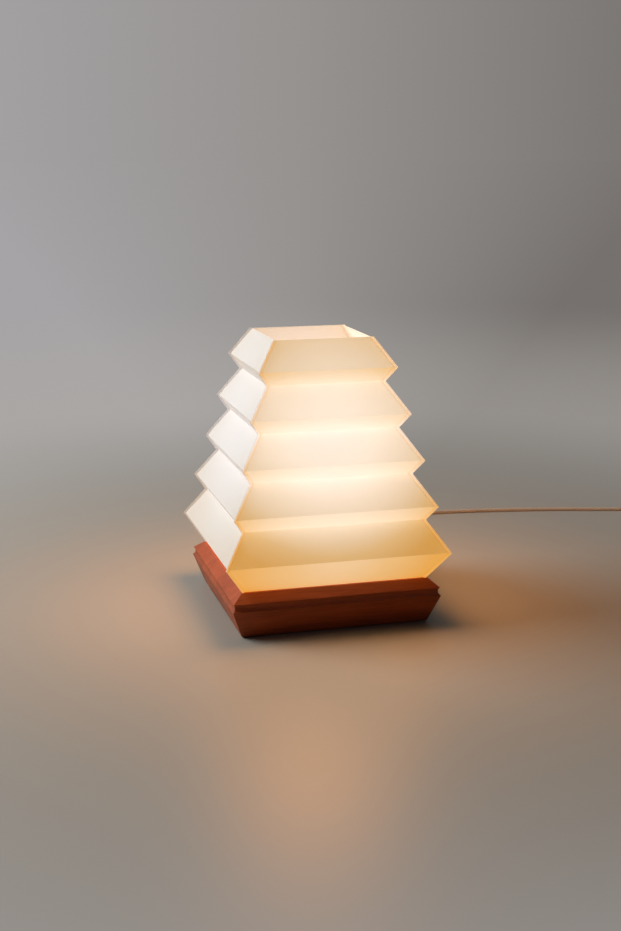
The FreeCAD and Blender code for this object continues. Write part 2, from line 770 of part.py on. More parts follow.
FIRST_STRETCH = [
    relief_tip + Vector(0, 0, value("lead_level")),
    relief_tip + Vector(0, 18.6, 13.0),
    relief_tip + Vector(3.0, 42.6, 5.2),
    relief_tip + Vector(11.0, 70.6, 2.5),
    relief_tip + Vector(22.0, 95.6, 4.6),
    SWITCH_PLACE + switch_level - by_switch,
    SWITCH_PLACE + switch_level - in_switch,
]
SECOND_STRETCH = [
    SWITCH_PLACE + switch_level + in_switch,
    SWITCH_PLACE + switch_level + by_switch,
    relief_tip + Vector(146.0, 175.2, 4.4),
    relief_tip + Vector(172.0, 182.2, 2.5),
    relief_tip + Vector(204.0, 186.8, 2.5),
    relief_tip + Vector(243.0, 189.4, 2.5),
    relief_tip + Vector(287.0, 187.8, 2.5),
    relief_tip + Vector(335.0, 181.2, 2.5),
    relief_tip + Vector(388.0, 171.8, 2.5),
    relief_tip + Vector(440.0, 159.8, 2.5),
    relief_tip + Vector(490.0, 145.6, 2.5),
    relief_tip + Vector(533.0, 133.0, 2.5),
    relief_tip + Vector(560.0, 126.9, 2.9),
    relief_tip + Vector(575.0, 125.1, 3.1),
]
TAIL = [
    relief_tip + Vector(605.0, 90.1, 8.1),
    relief_tip + Vector(605.2, 76.6, 7.9),
    PLUG_PLACE + plug_level - heading(PLUG_HEADING) * STRAIGHT_AT_PLUG,
    PLUG_PLACE + plug_level,
]
make_lead("lead_to_switch", FIRST_STRETCH, lead_radius)
make_lead("lead_to_coil", SECOND_STRETCH, lead_radius)
make_lead("lead_to_plug", TAIL, lead_radius)

COIL_IN = f"(coil_middle_radius - {COIL_HALF_WIDTH})"
COIL_OUT = f"(coil_middle_radius + {COIL_HALF_WIDTH})"
coil_section = [
    (f"{COIL_IN} + coil_edge", "0"),
    (f"{COIL_OUT} - coil_edge", "0"),
    (COIL_OUT, "coil_edge"),
    (f"{COIL_OUT} - 2 * lead_radius", f"{COIL_RISE} - coil_edge"),
    (f"{COIL_OUT} - 2 * lead_radius - coil_edge", COIL_RISE),
    (f"{COIL_IN} + coil_edge", COIL_RISE),
    (COIL_IN, f"{COIL_RISE} - coil_edge"),
    (COIL_IN, "coil_edge"),
]
coil = turned("lead_coil", coil_section, "tie_gauge", {corner: ("coil_edge", 1) for corner in (1, 3, 5, 7)})
coil.Placement.Base = COIL_PLACE

tie = new_body("lead_tie")
tie_room = f"({COIL_HALF_WIDTH} + tie_clearance)"
tie_inside = [
    (f"-{tie_room}", "tie_gauge"),
    (tie_room, "tie_gauge"),
    (tie_room, f"tie_gauge + {COIL_RISE} + tie_clearance"),
    (f"-{tie_room}", f"tie_gauge + {COIL_RISE} + tie_clearance"),
]
tie_outside = [
    (f"-{tie_room} - tie_gauge", "0"),
    (f"{tie_room} + tie_gauge", "0"),
    (f"{tie_room} + tie_gauge", f"2 * tie_gauge + {COIL_RISE} + tie_clearance"),
    (f"-{tie_room} - tie_gauge", f"2 * tie_gauge + {COIL_RISE} + tie_clearance"),
]
pad(tie, draw_outline(new_sketch(tie, "XZ_Plane"), tie_outside), "tie_width", symmetric=True)
pocket(tie, draw_outline(new_sketch(tie, "XZ_Plane"), tie_inside), symmetric=True)
tie.Placement.Base = COIL_PLACE - Vector(value("coil_middle_radius"), 0, 0)

# --- inline switch: local X along the lead, its middle on the local origin ---------------------------------

switch_placement = Placement(SWITCH_PLACE, Rotation(Vector(0, 0, 1), SWITCH_HEADING))
HALF_LENGTH = "(switch_length / 2)"
HALF_WIDTH = "(switch_width / 2)"


def rounded_box(sketch):
    """The switch's plan: a rectangle with round corners."""
    near_x, near_y = f"({HALF_LENGTH} - switch_corner)", f"({HALF_WIDTH} - switch_corner)"
    texts = [
        (near_x, f"-{HALF_WIDTH}"),
        (HALF_LENGTH, f"-{near_y}"),
        (HALF_LENGTH, near_y),
        (near_x, HALF_WIDTH),
        (f"-{near_x}", HALF_WIDTH),
        (f"-{HALF_LENGTH}", near_y),
        (f"-{HALF_LENGTH}", f"-{near_y}"),
        (f"-{near_x}", f"-{HALF_WIDTH}"),
    ]
    return draw_outline(sketch, texts, {corner: ("switch_corner", 1) for corner in (0, 2, 4, 6)})


lower = new_body("switch_lower")
lower_block = pad(lower, rounded_box(new_sketch(lower)), SWITCH_SPLIT)
round_edges(lower, lower_block, "switch_edge", "0")
switch_screw_places = [(f"{x} * switch_screw_along", f"{x} * switch_screw_across") for x in (1, -1)]
sink_holes(lower, switch_screw_places, "switch_screw_radius", "switch_screw_head")
cavity = draw_box(
    new_sketch(lower, lift=SWITCH_SPLIT), f"({HALF_LENGTH} - switch_end_wall)", f"({HALF_WIDTH} - switch_wall)"
)
pocket(lower, cavity, f"{SWITCH_SPLIT} - switch_wall")
pocket(lower, draw_circle(new_sketch(lower, "YZ_Plane"), "0", SWITCH_SPLIT, LEAD_BORE), symmetric=True)
lower.Placement = switch_placement

upper = new_body("switch_upper")
upper_block = pad(upper, rounded_box(new_sketch(upper)), SWITCH_SPLIT)
round_edges(upper, upper_block, "switch_edge", SWITCH_SPLIT)
cavity = draw_box(new_sketch(upper), f"({HALF_LENGTH} - switch_end_wall)", f"({HALF_WIDTH} - switch_wall)")
pocket(upper, cavity, f"{SWITCH_SPLIT} - switch_wall", upwards=True)
window_half_width = "(rocker_half_width + rocker_clearance)"
window = draw_box(new_sketch(upper), "(rocker_swing_radius + rocker_clearance)", window_half_width)
pocket(upper, window, upwards=True)
lugs = new_sketch(upper)
for lug_side in (1, -1):
    near, far = f"{lug_side} * {window_half_width}", f"{lug_side} * ({window_half_width} + lug_gauge)"
    draw_outline(
        lugs,
        [
            ("-lug_half_length", near), ("lug_half_length", near),
            ("lug_half_length", far), ("-lug_half_length", far),
        ],
    )
pad(upper, lugs, f"{SWITCH_SPLIT} - switch_wall / 2")
pin_hole = draw_circle(
    new_sketch(upper, "XZ_Plane"), "0", f"rocker_pivot - {SWITCH_SPLIT}",
    "rocker_pin_radius + rocker_pin_clearance",
)
pocket(upper, pin_hole, f"2 * ({window_half_width} + lug_gauge)", symmetric=True)
pocket(upper, draw_circle(new_sketch(upper, "YZ_Plane"), "0", "0", LEAD_BORE), symmetric=True)
pilot_holes = new_sketch(upper)
for x, y in switch_screw_places:
    draw_circle(pilot_holes, x, y, "switch_screw_radius + screw_clearance")
pocket(upper, pilot_holes, f"switch_screw_length - {SWITCH_SPLIT} + switch_screw_radius", upwards=True)
upper.Placement = Placement(SWITCH_PLACE + switch_level, switch_placement.Rotation)

rocker = new_body("switch_rocker")
crest_x = "sqrt(rocker_swing_radius ^ 2 - rocker_crest ^ 2)"
skirt_x = "sqrt(rocker_swing_radius ^ 2 - rocker_skirt ^ 2)"
rocker_outline = [
    (skirt_x, "rocker_skirt"),
    (crest_x, "rocker_crest"),
    ("0", "rocker_dip"),
    (f"-{crest_x}", "rocker_crest"),
    (f"-{skirt_x}", "rocker_skirt"),
]
rocker_arcs = {0: ("rocker_swing_radius", 1), 3: ("rocker_swing_radius", 1)}
rocker_sketch = draw_outline(new_sketch(rocker, "XZ_Plane"), rocker_outline, rocker_arcs)
pad(rocker, rocker_sketch, "2 * rocker_half_width", symmetric=True)
hub = draw_circle(new_sketch(rocker, "XZ_Plane"), "0", "0", "rocker_hub")
pad(rocker, hub, "2 * rocker_half_width", symmetric=True)
pins = draw_circle(new_sketch(rocker, "XZ_Plane"), "0", "0", "rocker_pin_radius")
pad(rocker, pins, f"2 * ({window_half_width} + lug_gauge)", symmetric=True)
tilted = switch_placement.Rotation * Rotation(Vector(0, 1, 0), value("rocker_tilt"))
rocker.Placement = Placement(SWITCH_PLACE + Vector(0, 0, value("rocker_pivot")), tilted)

switch_screws = new_body("switch_screws")
switch_screw_outline = countersunk("switch_screw_radius", "switch_screw_head", "switch_screw_length")
switch_screw_radius_out = "sqrt(switch_screw_along ^ 2 + switch_screw_across ^ 2)"
ring_of(switch_screws, turned_beside(switch_screws, switch_screw_outline, switch_screw_radius_out), 2)
screw_bearing = math.degrees(math.atan2(value("switch_screw_across"), value("switch_screw_along")))
switch_screws.Placement = Placement(SWITCH_PLACE, Rotation(Vector(0, 0, 1), SWITCH_HEADING + screw_bearing))

# --- plug: local X from the lead's end to the pins -------------------------------------------------------

plug_placement = Placement(PLUG_PLACE, Rotation(Vector(0, 0, 1), PLUG_HEADING))
plug = new_body("plug_body")
plug_plan = [
    ("0", "-plug_cable_half"),
    ("plug_neck_length", "-plug_cable_half"),
    ("plug_shoulder_length", "-plug_half_width"),
    ("plug_length", "-plug_half_width"),
    ("plug_length", "plug_half_width"),
    ("plug_shoulder_length", "plug_half_width"),
    ("plug_neck_length", "plug_cable_half"),
    ("0", "plug_cable_half"),
]
plug_block = pad(plug, draw_outline(new_sketch(plug), plug_plan), "plug_gauge")
doc.recompute()
plug_rounds = plug.newObject("PartDesign::Fillet", "Fillet")
plug_rounds.Base = (plug_block, ["Edge1"])
plug_rounds.UseAllEdges = True
plug_rounds.setExpression("Radius", bound("plug_edge"))
plug.Placement = plug_placement

plug_pins = new_body("plug_pins")
pin_sketch = new_sketch(plug_pins, "YZ_Plane", lift="plug_length")
for pin_side in (1, -1):
    draw_circle(pin_sketch, f"{pin_side} * pin_spacing / 2", "plug_gauge / 2", "pin_radius")
pad(plug_pins, pin_sketch, "pin_length")
plug_pins.Placement = plug_placement

# --- checks and files ------------------------------------------------------------------------------------

doc.recompute()
for item in doc.Objects:
    faults = {"Invalid", "Error"} & set(item.State)
    if faults:
        raise RuntimeError(f"{item.Name} of {item.Label} failed: {item.State}")
for name, item in pieces.items():
    if item.Shape.isNull() or not item.Shape.isValid() or item.Shape.Volume <= 0:
        raise RuntimeError(f"{name} has no valid shape")

os.makedirs("parts", exist_ok=True)
for name, item in pieces.items():
    item.Shape.exportStep(f"parts/{name}.step")
    box = item.Shape.BoundBox
    print(f"{name}: {len(item.Shape.Solids)} solid(s), {item.Shape.Volume:.0f} mm3, "
          f"z {box.ZMin:.2f} to {box.ZMax:.2f}")
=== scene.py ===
import math

import bmesh
import bpy
from mathutils import Matrix, Vector


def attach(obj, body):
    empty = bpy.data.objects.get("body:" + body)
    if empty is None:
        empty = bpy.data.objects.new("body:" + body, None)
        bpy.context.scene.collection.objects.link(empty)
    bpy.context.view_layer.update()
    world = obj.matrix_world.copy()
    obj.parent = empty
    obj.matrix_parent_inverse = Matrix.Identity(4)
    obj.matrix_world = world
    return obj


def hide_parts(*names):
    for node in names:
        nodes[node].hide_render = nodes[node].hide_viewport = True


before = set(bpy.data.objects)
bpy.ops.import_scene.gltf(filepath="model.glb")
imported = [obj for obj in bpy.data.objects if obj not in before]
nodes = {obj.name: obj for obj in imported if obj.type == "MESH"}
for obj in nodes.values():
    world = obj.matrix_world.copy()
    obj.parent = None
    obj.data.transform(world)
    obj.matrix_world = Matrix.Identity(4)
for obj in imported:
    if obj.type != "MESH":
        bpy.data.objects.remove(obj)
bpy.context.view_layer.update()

# A pleated paper table lamp on a square base of stained wooden mouldings. Metres; Z is up,
# the table is z = 0 and the front is -Y. The sizes below are the ones that the base, the shade
# and the mains lead were built to.

MM = 0.001
SAME, NEARLY = 1e-6, 1e-5

# --- camera --------------------------------------------------------------------------------------

CAMERA_PLACE = Vector((-398.13, -1476.62, 507.79)) * MM
CAMERA_BEARING = math.radians(-15.084)
CAMERA_DIP = math.radians(12.908)
CAMERA_ROLL = math.radians(-0.115)
LENS = 54.446
SIGHT = 200


def put_in_scene(name, held, place=(0, 0, 0)):
    """A new object that holds a camera, a lamp or a curve."""
    item = bpy.data.objects.new(name, held)
    bpy.context.scene.collection.objects.link(item)
    item.location = place
    return item


def set_up_camera():
    back = Vector((
        math.sin(CAMERA_BEARING) * math.cos(CAMERA_DIP),
        -math.cos(CAMERA_BEARING) * math.cos(CAMERA_DIP),
        math.sin(CAMERA_DIP),
    ))
    right = Vector((math.cos(CAMERA_BEARING), math.sin(CAMERA_BEARING), 0))
    up = back.cross(right)
    across = right * math.cos(CAMERA_ROLL) + up * math.sin(CAMERA_ROLL)
    upright = up * math.cos(CAMERA_ROLL) - right * math.sin(CAMERA_ROLL)
    camera = put_in_scene("camera", bpy.data.cameras.new("camera"))
    camera.data.lens = LENS
    camera.data.clip_end = SIGHT
    turn = Matrix((across, upright, back)).transposed().to_4x4()
    camera.matrix_world = Matrix.Translation(CAMERA_PLACE) @ turn
    bpy.context.scene.camera = camera


set_up_camera()
bpy.context.scene.view_settings.view_transform = "Standard"

# --- small helpers for modelling by hand ---------------------------------------------------------


def deselect():
    bpy.ops.object.select_all(action="DESELECT")


def take_up(piece):
    """Makes a piece the only one that is selected."""
    deselect()
    piece.select_set(True)
    bpy.context.view_layer.objects.active = piece


def name_piece(name):
    piece = bpy.context.object
    piece.name = name
    piece.data.name = name
    return piece


def open_piece(piece):
    take_up(piece)
    bpy.ops.object.mode_set(mode="EDIT")


def close_piece():
    bpy.ops.object.mode_set(mode="OBJECT")


def pick(piece, kind, wanted):
    """Selects the points, edges or faces of an open piece that pass a test."""
    bpy.ops.mesh.select_mode(type=kind)
    bpy.ops.mesh.select_all(action="DESELECT")
    mesh = bmesh.from_edit_mesh(piece.data)
    for item in {"VERT": mesh.verts, "EDGE": mesh.edges, "FACE": mesh.faces}[kind]:
        if wanted(item):
            item.select_set(True)
    mesh.select_flush_mode()
    bmesh.update_edit_mesh(piece.data)


def pick_all(kind="VERT"):
    bpy.ops.mesh.select_mode(type=kind)
    bpy.ops.mesh.select_all(action="SELECT")


def merge_and_face_out():
    pick_all()
    bpy.ops.mesh.remove_doubles(threshold=SAME)
    bpy.ops.mesh.normals_make_consistent(inside=False)


def settle(piece):
    """Puts the piece's place, turn and size into its mesh."""
    take_up(piece)
    bpy.ops.object.transform_apply(location=True, rotation=True, scale=True)


def put(piece, place=(0, 0, 0), turn=(0, 0, 0)):
    """Turns a piece by degrees, moves it by millimetres and settles it."""
    piece.rotation_euler = [math.radians(angle) for angle in turn]
    piece.location = Vector(place) * MM
    settle(piece)
    return piece


def copied(piece, name):
    """A copy with its own mesh."""
    take_up(piece)
    bpy.ops.object.duplicate(linked=False)
    return name_piece(name)


def join_up(name, parts):
    deselect()
    for part in parts:
        part.select_set(True)
    bpy.context.view_layer.objects.active = parts[0]
    bpy.ops.object.join()
    return name_piece(name)


def apply_modifiers(piece):
    take_up(piece)
    for modifier in list(piece.modifiers):
        bpy.ops.object.modifier_apply(modifier=modifier.name)


def smooth(piece, angle):
    take_up(piece)
    bpy.ops.object.shade_smooth_by_angle(angle=math.radians(angle))


def round_edges(piece, width, angle, segments=2):
    """Adds a small round to the edges that are crisper than an angle."""
    edge = piece.modifiers.new("eased_edges", "BEVEL")
    edge.width = width * MM
    edge.segments = segments
    edge.limit_method = "ANGLE"
    edge.angle_limit = math.radians(angle)


def ease(piece, width, angle=30):
    """Rounds the crisp edges a little and smooths the rest."""
    round_edges(piece, width, angle)
    apply_modifiers(piece)
    smooth(piece, 40)
    return piece


def thicken(piece, gauge, offset=-1, even=False):
    """Gives a bare surface the gauge of its sheet, inwards or to both sides."""
    sheet = piece.modifiers.new("sheet", "SOLIDIFY")
    sheet.thickness = gauge * MM
    sheet.offset = offset
    sheet.use_even_offset = even
    apply_modifiers(piece)


def turn_up(name, rings, steps=48, shut=True, foot=0):
    """A round piece pulled up ring by ring; rings are (radius, height), a radius of 0 is a point."""
    rings = [(radius, foot + height) for radius, height in rings]
    radius, height = rings[0]
    deselect()
    bpy.ops.mesh.primitive_circle_add(vertices=steps, radius=radius * MM, location=(0, 0, height * MM))
    piece = name_piece(name)
    settle(piece)
    open_piece(piece)
    pick_all("EDGE")
    for (before, low), (after, high) in zip(rings, rings[1:]):
        bpy.ops.mesh.extrude_edges_move(TRANSFORM_OT_translate={"value": (0, 0, (high - low) * MM)})
        if after:
            share = after / before
            bpy.ops.transform.resize(value=(share, share, 1), center_override=(0, 0, high * MM))
        else:
            bpy.ops.mesh.merge(type="CENTER")
    if shut:
        for level in {rings[0][1], rings[-1][1]}:
            pick(piece, "EDGE", lambda edge: edge.is_boundary and abs(edge.verts[0].co.z - level * MM) < SAME)
            if any(edge.select for edge in bmesh.from_edit_mesh(piece.data).edges):
                bpy.ops.mesh.edge_face_add()
    merge_and_face_out()
    close_piece()
    return piece


def block(name, low, high):
    """A squared block between two corners, to be cut and shaped."""
    low, high = Vector(low) * MM, Vector(high) * MM
    deselect()
    bpy.ops.mesh.primitive_cube_add(size=1, location=(low + high) / 2, scale=high - low)
    piece = name_piece(name)
    settle(piece)
    return piece


def cut_across(axis, places):
    """Cuts the open piece through at places along X, Y or Z."""
    square = Vector([1.0 if letter == axis else 0.0 for letter in "XYZ"])
    for place in places:
        pick_all()
        bpy.ops.mesh.bisect(plane_co=square * place * MM, plane_no=square)


def pull(piece, kind, wanted, by):
    """Draws the faces or edges that pass a test out of an open piece."""
    pick(piece, kind, wanted)
    bpy.ops.mesh.extrude_region_move(TRANSFORM_OT_translate={"value": Vector(by) * MM})


def shift(piece, kind, wanted, by):
    """Moves the points, edges or faces of an open piece that pass a test."""
    pick(piece, kind, wanted)
    bpy.ops.transform.translate(value=Vector(by) * MM)


# --- materials -----------------------------------------------------------------------------------

ALONG_X = (0, 0, 0)
ALONG_Y = (0, 0, math.radians(90))


class Nodes:
    """A node tree and a short way to add and join its nodes."""

    def __init__(self, tree):
        self.tree = tree

    def join(self, entry, socket):
        """Links a node's output to a socket, or gives the socket a plain value or colour."""
        if isinstance(entry, bpy.types.NodeSocket):
            self.tree.links.new(entry, socket)
        elif socket.type == "RGBA":
            socket.default_value = (*entry, 1)
        else:
            socket.default_value = entry

    def add(self, kind, entries=None, **settings):
        """A new node with its settings made and its sockets filled."""
        node = self.tree.nodes.new(kind)
        for key, setting in settings.items():
            setattr(node, key, setting)
        for socket, entry in (entries or {}).items():
            self.join(entry, node.inputs[socket])
        return node

    def place(self, scale=(1, 1, 1), turn=ALONG_X, shift=(0, 0, 0)):
        """Object coordinates, scaled and turned for a pattern."""
        here = self.add("ShaderNodeTexCoord").outputs["Object"]
        mapping = self.add("ShaderNodeMapping", {
            "Vector": here, "Scale": scale, "Rotation": turn, "Location": shift})
        return mapping.outputs["Vector"]

    def noise(self, vector, scale, detail, roughness, distortion=0.0):
        return self.add("ShaderNodeTexNoise", {
            "Vector": vector, "Scale": scale, "Detail": detail, "Roughness": roughness,
            "Distortion": distortion}).outputs["Fac"]

    def ramp(self, factor, stops):
        node = self.add("ShaderNodeValToRGB", {"Fac": factor})
        elements = node.color_ramp.elements
        while len(elements) < len(stops):
            elements.new(0.5)
        for element, (position, colour) in zip(elements, stops):
            element.position = position
            element.color = (*colour, 1) if isinstance(colour, tuple) else (colour, colour, colour, 1)
        return node.outputs["Color"]

    def share(self, value, low, high, way="LINEAR"):
        """0 at the low value, 1 at the high one."""
        return self.add("ShaderNodeMapRange", {"Value": value, "From Min": low, "From Max": high},
                        interpolation_type=way).outputs["Result"]

    def reckon(self, operation, *values):
        return self.add("ShaderNodeMath", dict(enumerate(values)), operation=operation).outputs["Value"]

    def vector(self, operation, *vectors):
        node = self.add("ShaderNodeVectorMath", dict(enumerate(vectors)), operation=operation)
        return node.outputs["Value" if operation in ("LENGTH", "DOT_PRODUCT") else "Vector"]

    def parts(self, vector):
        return self.add("ShaderNodeSeparateXYZ", {"Vector": vector}).outputs

    def blend(self, factor, first, second, mode="MIX"):
        node = self.add("ShaderNodeMix", {0: factor, 6: first, 7: second}, data_type="RGBA", blend_type=mode)
        return node.outputs[2]

    def times(self, first, second, factor=1.0):
        return self.blend(factor, first, second, "MULTIPLY")

    def mix(self, factor, first, second):
        return self.add("ShaderNodeMixShader", {0: factor, 1: first, 2: second}).outputs[0]


class Finish(Nodes):
    """A material for one kind of surface."""

    def __init__(self, name):
        self.material = bpy.data.materials.new(name)
        self.material.use_nodes = True
        super().__init__(self.material.node_tree)
        self.surface = self.tree.nodes["Principled BSDF"]
        self.output = self.tree.nodes["Material Output"]

    def set(self, socket, entry):
        self.join(entry, self.surface.inputs[socket])

    def bump(self, height, strength, depth):
        node = self.add("ShaderNodeBump", {"Height": height, "Strength": strength, "Distance": depth})
        self.set("Normal", node.outputs["Normal"])
        return node.outputs["Normal"]

    def show(self, shader):
        self.join(shader, self.output.inputs["Surface"])


def stained_wood(name, turn=ALONG_X):
    """Close-grained hardwood with a red-brown stain under thin oil; the grain runs along the rail."""
    wood = Finish(name)
    figure = wood.noise(wood.place(scale=(2.2, 16, 16), turn=turn, shift=(3.1, 0.7, 0.4)), 1.6, 4, 0.55, 0.9)
    grain = wood.noise(wood.place(scale=(6, 90, 90), turn=turn), 4.0, 5, 0.62, 0.3)
    pores = wood.noise(wood.place(scale=(20, 420, 420), turn=turn), 3.0, 2, 0.5)
    stain = wood.ramp(figure, [
        (0.30, (0.30, 0.062, 0.016)), (0.52, (0.39, 0.080, 0.021)), (0.72, (0.47, 0.102, 0.028))])
    grained = wood.times(stain, wood.ramp(grain, [(0.32, 0.78), (0.6, 1.0)]))
    wood.set("Base Color", wood.times(grained, wood.ramp(pores, [(0.30, 0.72), (0.42, 1.0)]), 0.7))
    wood.set("Roughness", wood.ramp(grain, [(0.3, 0.50), (0.7, 0.40)]))
    wood.set("Specular IOR Level", 0.22)
    wood.bump(pores, 0.16, 0.0004)
    return wood.material


def plain_birch(name, turn=ALONG_X):
    """Bare birch board: pale, close and straight grained, with a few darker streaks."""
    board = Finish(name)
    streaks = board.noise(board.place(scale=(3, 40, 60), turn=turn), 3.0, 4, 0.6, 0.5)
    pores = board.noise(board.place(scale=(25, 420, 420), turn=turn), 2.5, 2, 0.5)
    tone = board.ramp(streaks, [
        (0.30, (0.52, 0.36, 0.21)), (0.55, (0.64, 0.47, 0.30)), (0.75, (0.70, 0.54, 0.36))])
    board.set("Base Color", board.times(tone, board.ramp(pores, [(0.30, 0.82), (0.42, 1.0)]), 0.6))
    board.set("Roughness", board.ramp(streaks, [(0.3, 0.66), (0.7, 0.56)]))
    board.set("Specular IOR Level", 0.3)
    board.bump(pores, 0.2, 0.0004)
    return board.material


# The globe's light through the paper is painted on it as a glow. The painted glow falls off between two
# distances from the globe, and sooner on a slant. Facets that look down gain painted glow as they get
# further away. The fins' root shows as a thin darker line, in the paper's colour and in its painted glow.
GLOBE_CENTRE = (0, 0, 0.1733)
BRIGHT_REACH, DIM_REACH = 0.080, 0.190
SLANT_LOSS = 0.15
OVERHANG_GAIN, OVERHANG_START = 0.30, -0.11
SEAM_EDGE, SEAM_END = 0.00073, 0.0028
INNER_FACE_GLOW = (0.58, 0.62, 0.80)
SEEN_THROUGH = 0.16


def folded_paper(name, glow, glow_tint):
    """Thin fibre paper with the globe's light through it painted as a glow: brightest where a facet faces it
    from nearby.
    """
    paper = Finish(name)
    here = paper.place()
    facing = paper.add("ShaderNodeNewGeometry").outputs["True Normal"]
    from_globe = paper.vector("SUBTRACT", here, GLOBE_CENTRE)
    outwards = paper.vector("DOT_PRODUCT", paper.vector("NORMALIZE", from_globe), facing)
    slant = paper.reckon("SUBTRACT", 1.0, paper.reckon("ABSOLUTE", outwards))
    loss = paper.reckon("MULTIPLY_ADD", slant, SLANT_LOSS, 1.0)
    reach = paper.reckon("MULTIPLY", paper.vector("LENGTH", from_globe), loss)
    dimming = paper.share(reach, BRIGHT_REACH, DIM_REACH)
    light = paper.ramp(dimming, [
        (0.0, (1.08, 0.91, 0.82)), (0.18, (1.06, 0.89, 0.75)), (0.37, (0.94, 0.75, 0.57)),
        (0.56, (0.81, 0.60, 0.39)), (0.755, (0.71, 0.43, 0.16)), (1.0, (0.64, 0.30, 0.03))])
    # painted shade: the inner faces get a dimmer, cooler painted glow than the outer ones
    outer_face = paper.reckon("GREATER_THAN", outwards, 0.0)
    light = paper.times(light, paper.blend(outer_face, INNER_FACE_GLOW, (1.0, 1.0, 1.0)))
    # painted light: facets that look down get more glow the further they are from the globe
    overhang = paper.reckon("LESS_THAN", paper.parts(facing)["Z"], 0.0)
    gain = paper.reckon("MULTIPLY_ADD", dimming, OVERHANG_GAIN, OVERHANG_START)
    light = paper.times(light, paper.reckon("MULTIPLY_ADD", overhang, gain, 1.0))
    light = paper.times(light, glow_tint)
    # near the fins: a thin darker line at their root, in the paper's colour and as painted shade in its glow;
    # the fins' own glow is painted cooler
    off_x, off_y = (paper.reckon("ABSOLUTE", paper.parts(here)[axis]) for axis in "XY")
    from_corner = paper.reckon("ABSOLUTE", paper.reckon("SUBTRACT", off_x, off_y))
    seam_line_and_shade = paper.ramp(paper.share(from_corner, SEAM_EDGE, SEAM_END), [
        (0.0, (1.0, 1.0, 1.12)), (0.04, (0.85, 0.71, 0.53)), (0.45, (0.92, 0.84, 0.72)),
        (1.0, (1.0, 1.0, 1.0))])
    cloud = paper.noise(paper.place(), 95, 4, 0.6)
    look_through = paper.ramp(cloud, [(0.3, 0.965), (0.7, 1.0)])
    # the globe's light through the sheet is painted here as the sheet's own glow
    paper.set("Emission Color", paper.times(paper.times(light, seam_line_and_shade), look_through))
    paper.set("Emission Strength", glow)
    fibre = paper.noise(paper.place(scale=(1.0, 1.0, 3.0)), 620, 3, 0.6, 0.6)
    sheet = paper.ramp(fibre, [(0.3, (0.80, 0.77, 0.72)), (0.7, (0.86, 0.83, 0.79))])
    paper.set("Base Color", paper.times(sheet, seam_line_and_shade, 0.6))
    paper.set("Roughness", 0.82)
    paper.set("Specular IOR Level", 0.25)
    normal = paper.bump(fibre, 0.12, 0.0002)
    through = paper.add("ShaderNodeBsdfTranslucent", {"Color": (0.86, 0.80, 0.70), "Normal": normal})
    paper.show(paper.mix(SEEN_THROUGH, paper.surface.outputs[0], through.outputs[0]))
    return paper.material


def plain_moulding(name, colour, roughness, grain=0.0003):
    """Moulded plastic or ceramic: an even finish with a fine surface grain."""
    finish = Finish(name)
    speckle = finish.noise(finish.place(), 900, 3, 0.6)
    cloud = finish.noise(finish.place(), 60, 3, 0.5)
    darker = tuple(0.9 * channel for channel in colour)
    finish.set("Base Color", finish.ramp(cloud, [(0.3, darker), (0.7, colour)]))
    finish.set("Roughness", finish.ramp(speckle, [(0.3, roughness * 0.85), (0.7, roughness * 1.15)]))
    finish.bump(speckle, 0.1, grain)
    return finish.material


def drawn_metal(name, colour, roughness):
    """Turned or drawn metal: fine lines round the piece and a few dull clouds."""
    metal = Finish(name)
    lines = metal.noise(metal.place(scale=(12, 12, 900)), 3.0, 3, 0.6)
    cloud = metal.noise(metal.place(), 130, 4, 0.6)
    duller = tuple(0.82 * channel for channel in colour)
    metal.set("Base Color", metal.ramp(cloud, [(0.3, duller), (0.7, colour)]))
    metal.set("Metallic", 1.0)
    wear = metal.reckon("ADD", metal.reckon("MULTIPLY", lines, 0.5), metal.reckon("MULTIPLY", cloud, 0.5))
    metal.set("Roughness", metal.ramp(wear, [(0.3, roughness * 0.8), (0.7, roughness * 1.25)]))
    metal.bump(lines, 0.10, 0.0002)
    return metal.material


def pressed_felt(name, colour):
    """Wool felt: matted fibres that catch light at a slant."""
    felt = Finish(name)
    fibres = felt.noise(felt.place(scale=(1, 1, 2)), 700, 5, 0.7, 1.2)
    darker = tuple(0.6 * channel for channel in colour)
    felt.set("Base Color", felt.ramp(fibres, [(0.3, darker), (0.7, colour)]))
    felt.set("Roughness", 0.95)
    felt.set("Sheen Weight", 0.4)
    felt.bump(fibres, 0.5, 0.0008)
    return felt.material


GLOBE_LOW, GLOBE_HIGH = 0.151, 0.205


def opal_glass(name, strength):
    """Lit opal glass: a touch warmer and dimmer low down, near the housing."""
    glass = Finish(name)
    level = glass.share(glass.parts(glass.place())["Z"], GLOBE_LOW, GLOBE_HIGH)
    cloud = glass.ramp(glass.noise(glass.place(), 70, 3, 0.5), [(0.3, 0.97), (0.7, 1.0)])
    light = glass.ramp(level, [
        (0.0, (0.86, 0.60, 0.34)), (0.25, (0.98, 0.80, 0.56)), (1.0, (1.0, 0.88, 0.70))])
    glass.set("Base Color", (0.9, 0.88, 0.84))
    glass.set("Roughness", 0.28)
    glass.set("Emission Color", glass.times(light, cloud))
    glass.set("Emission Strength", strength)
    return glass.material


def dress(material, *names):
    """Gives solid pieces their material."""
    for name in names:
        slots = nodes[name].data.materials
        slots.clear()
        slots.append(material)


def finish_piece(piece, material, body, slot, *replaced):
    """Gives a new piece its material and body, and takes the solids that it replaces out of view; the slot is
    not used.
    """
    piece.data.materials.clear()
    piece.data.materials.append(material)
    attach(piece, body)
    if replaced:
        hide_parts(*replaced)
    return piece


# --- mains lead ----------------------------------------------------------------------------------
# The line counts from the strain relief's tip; heights are from the table.

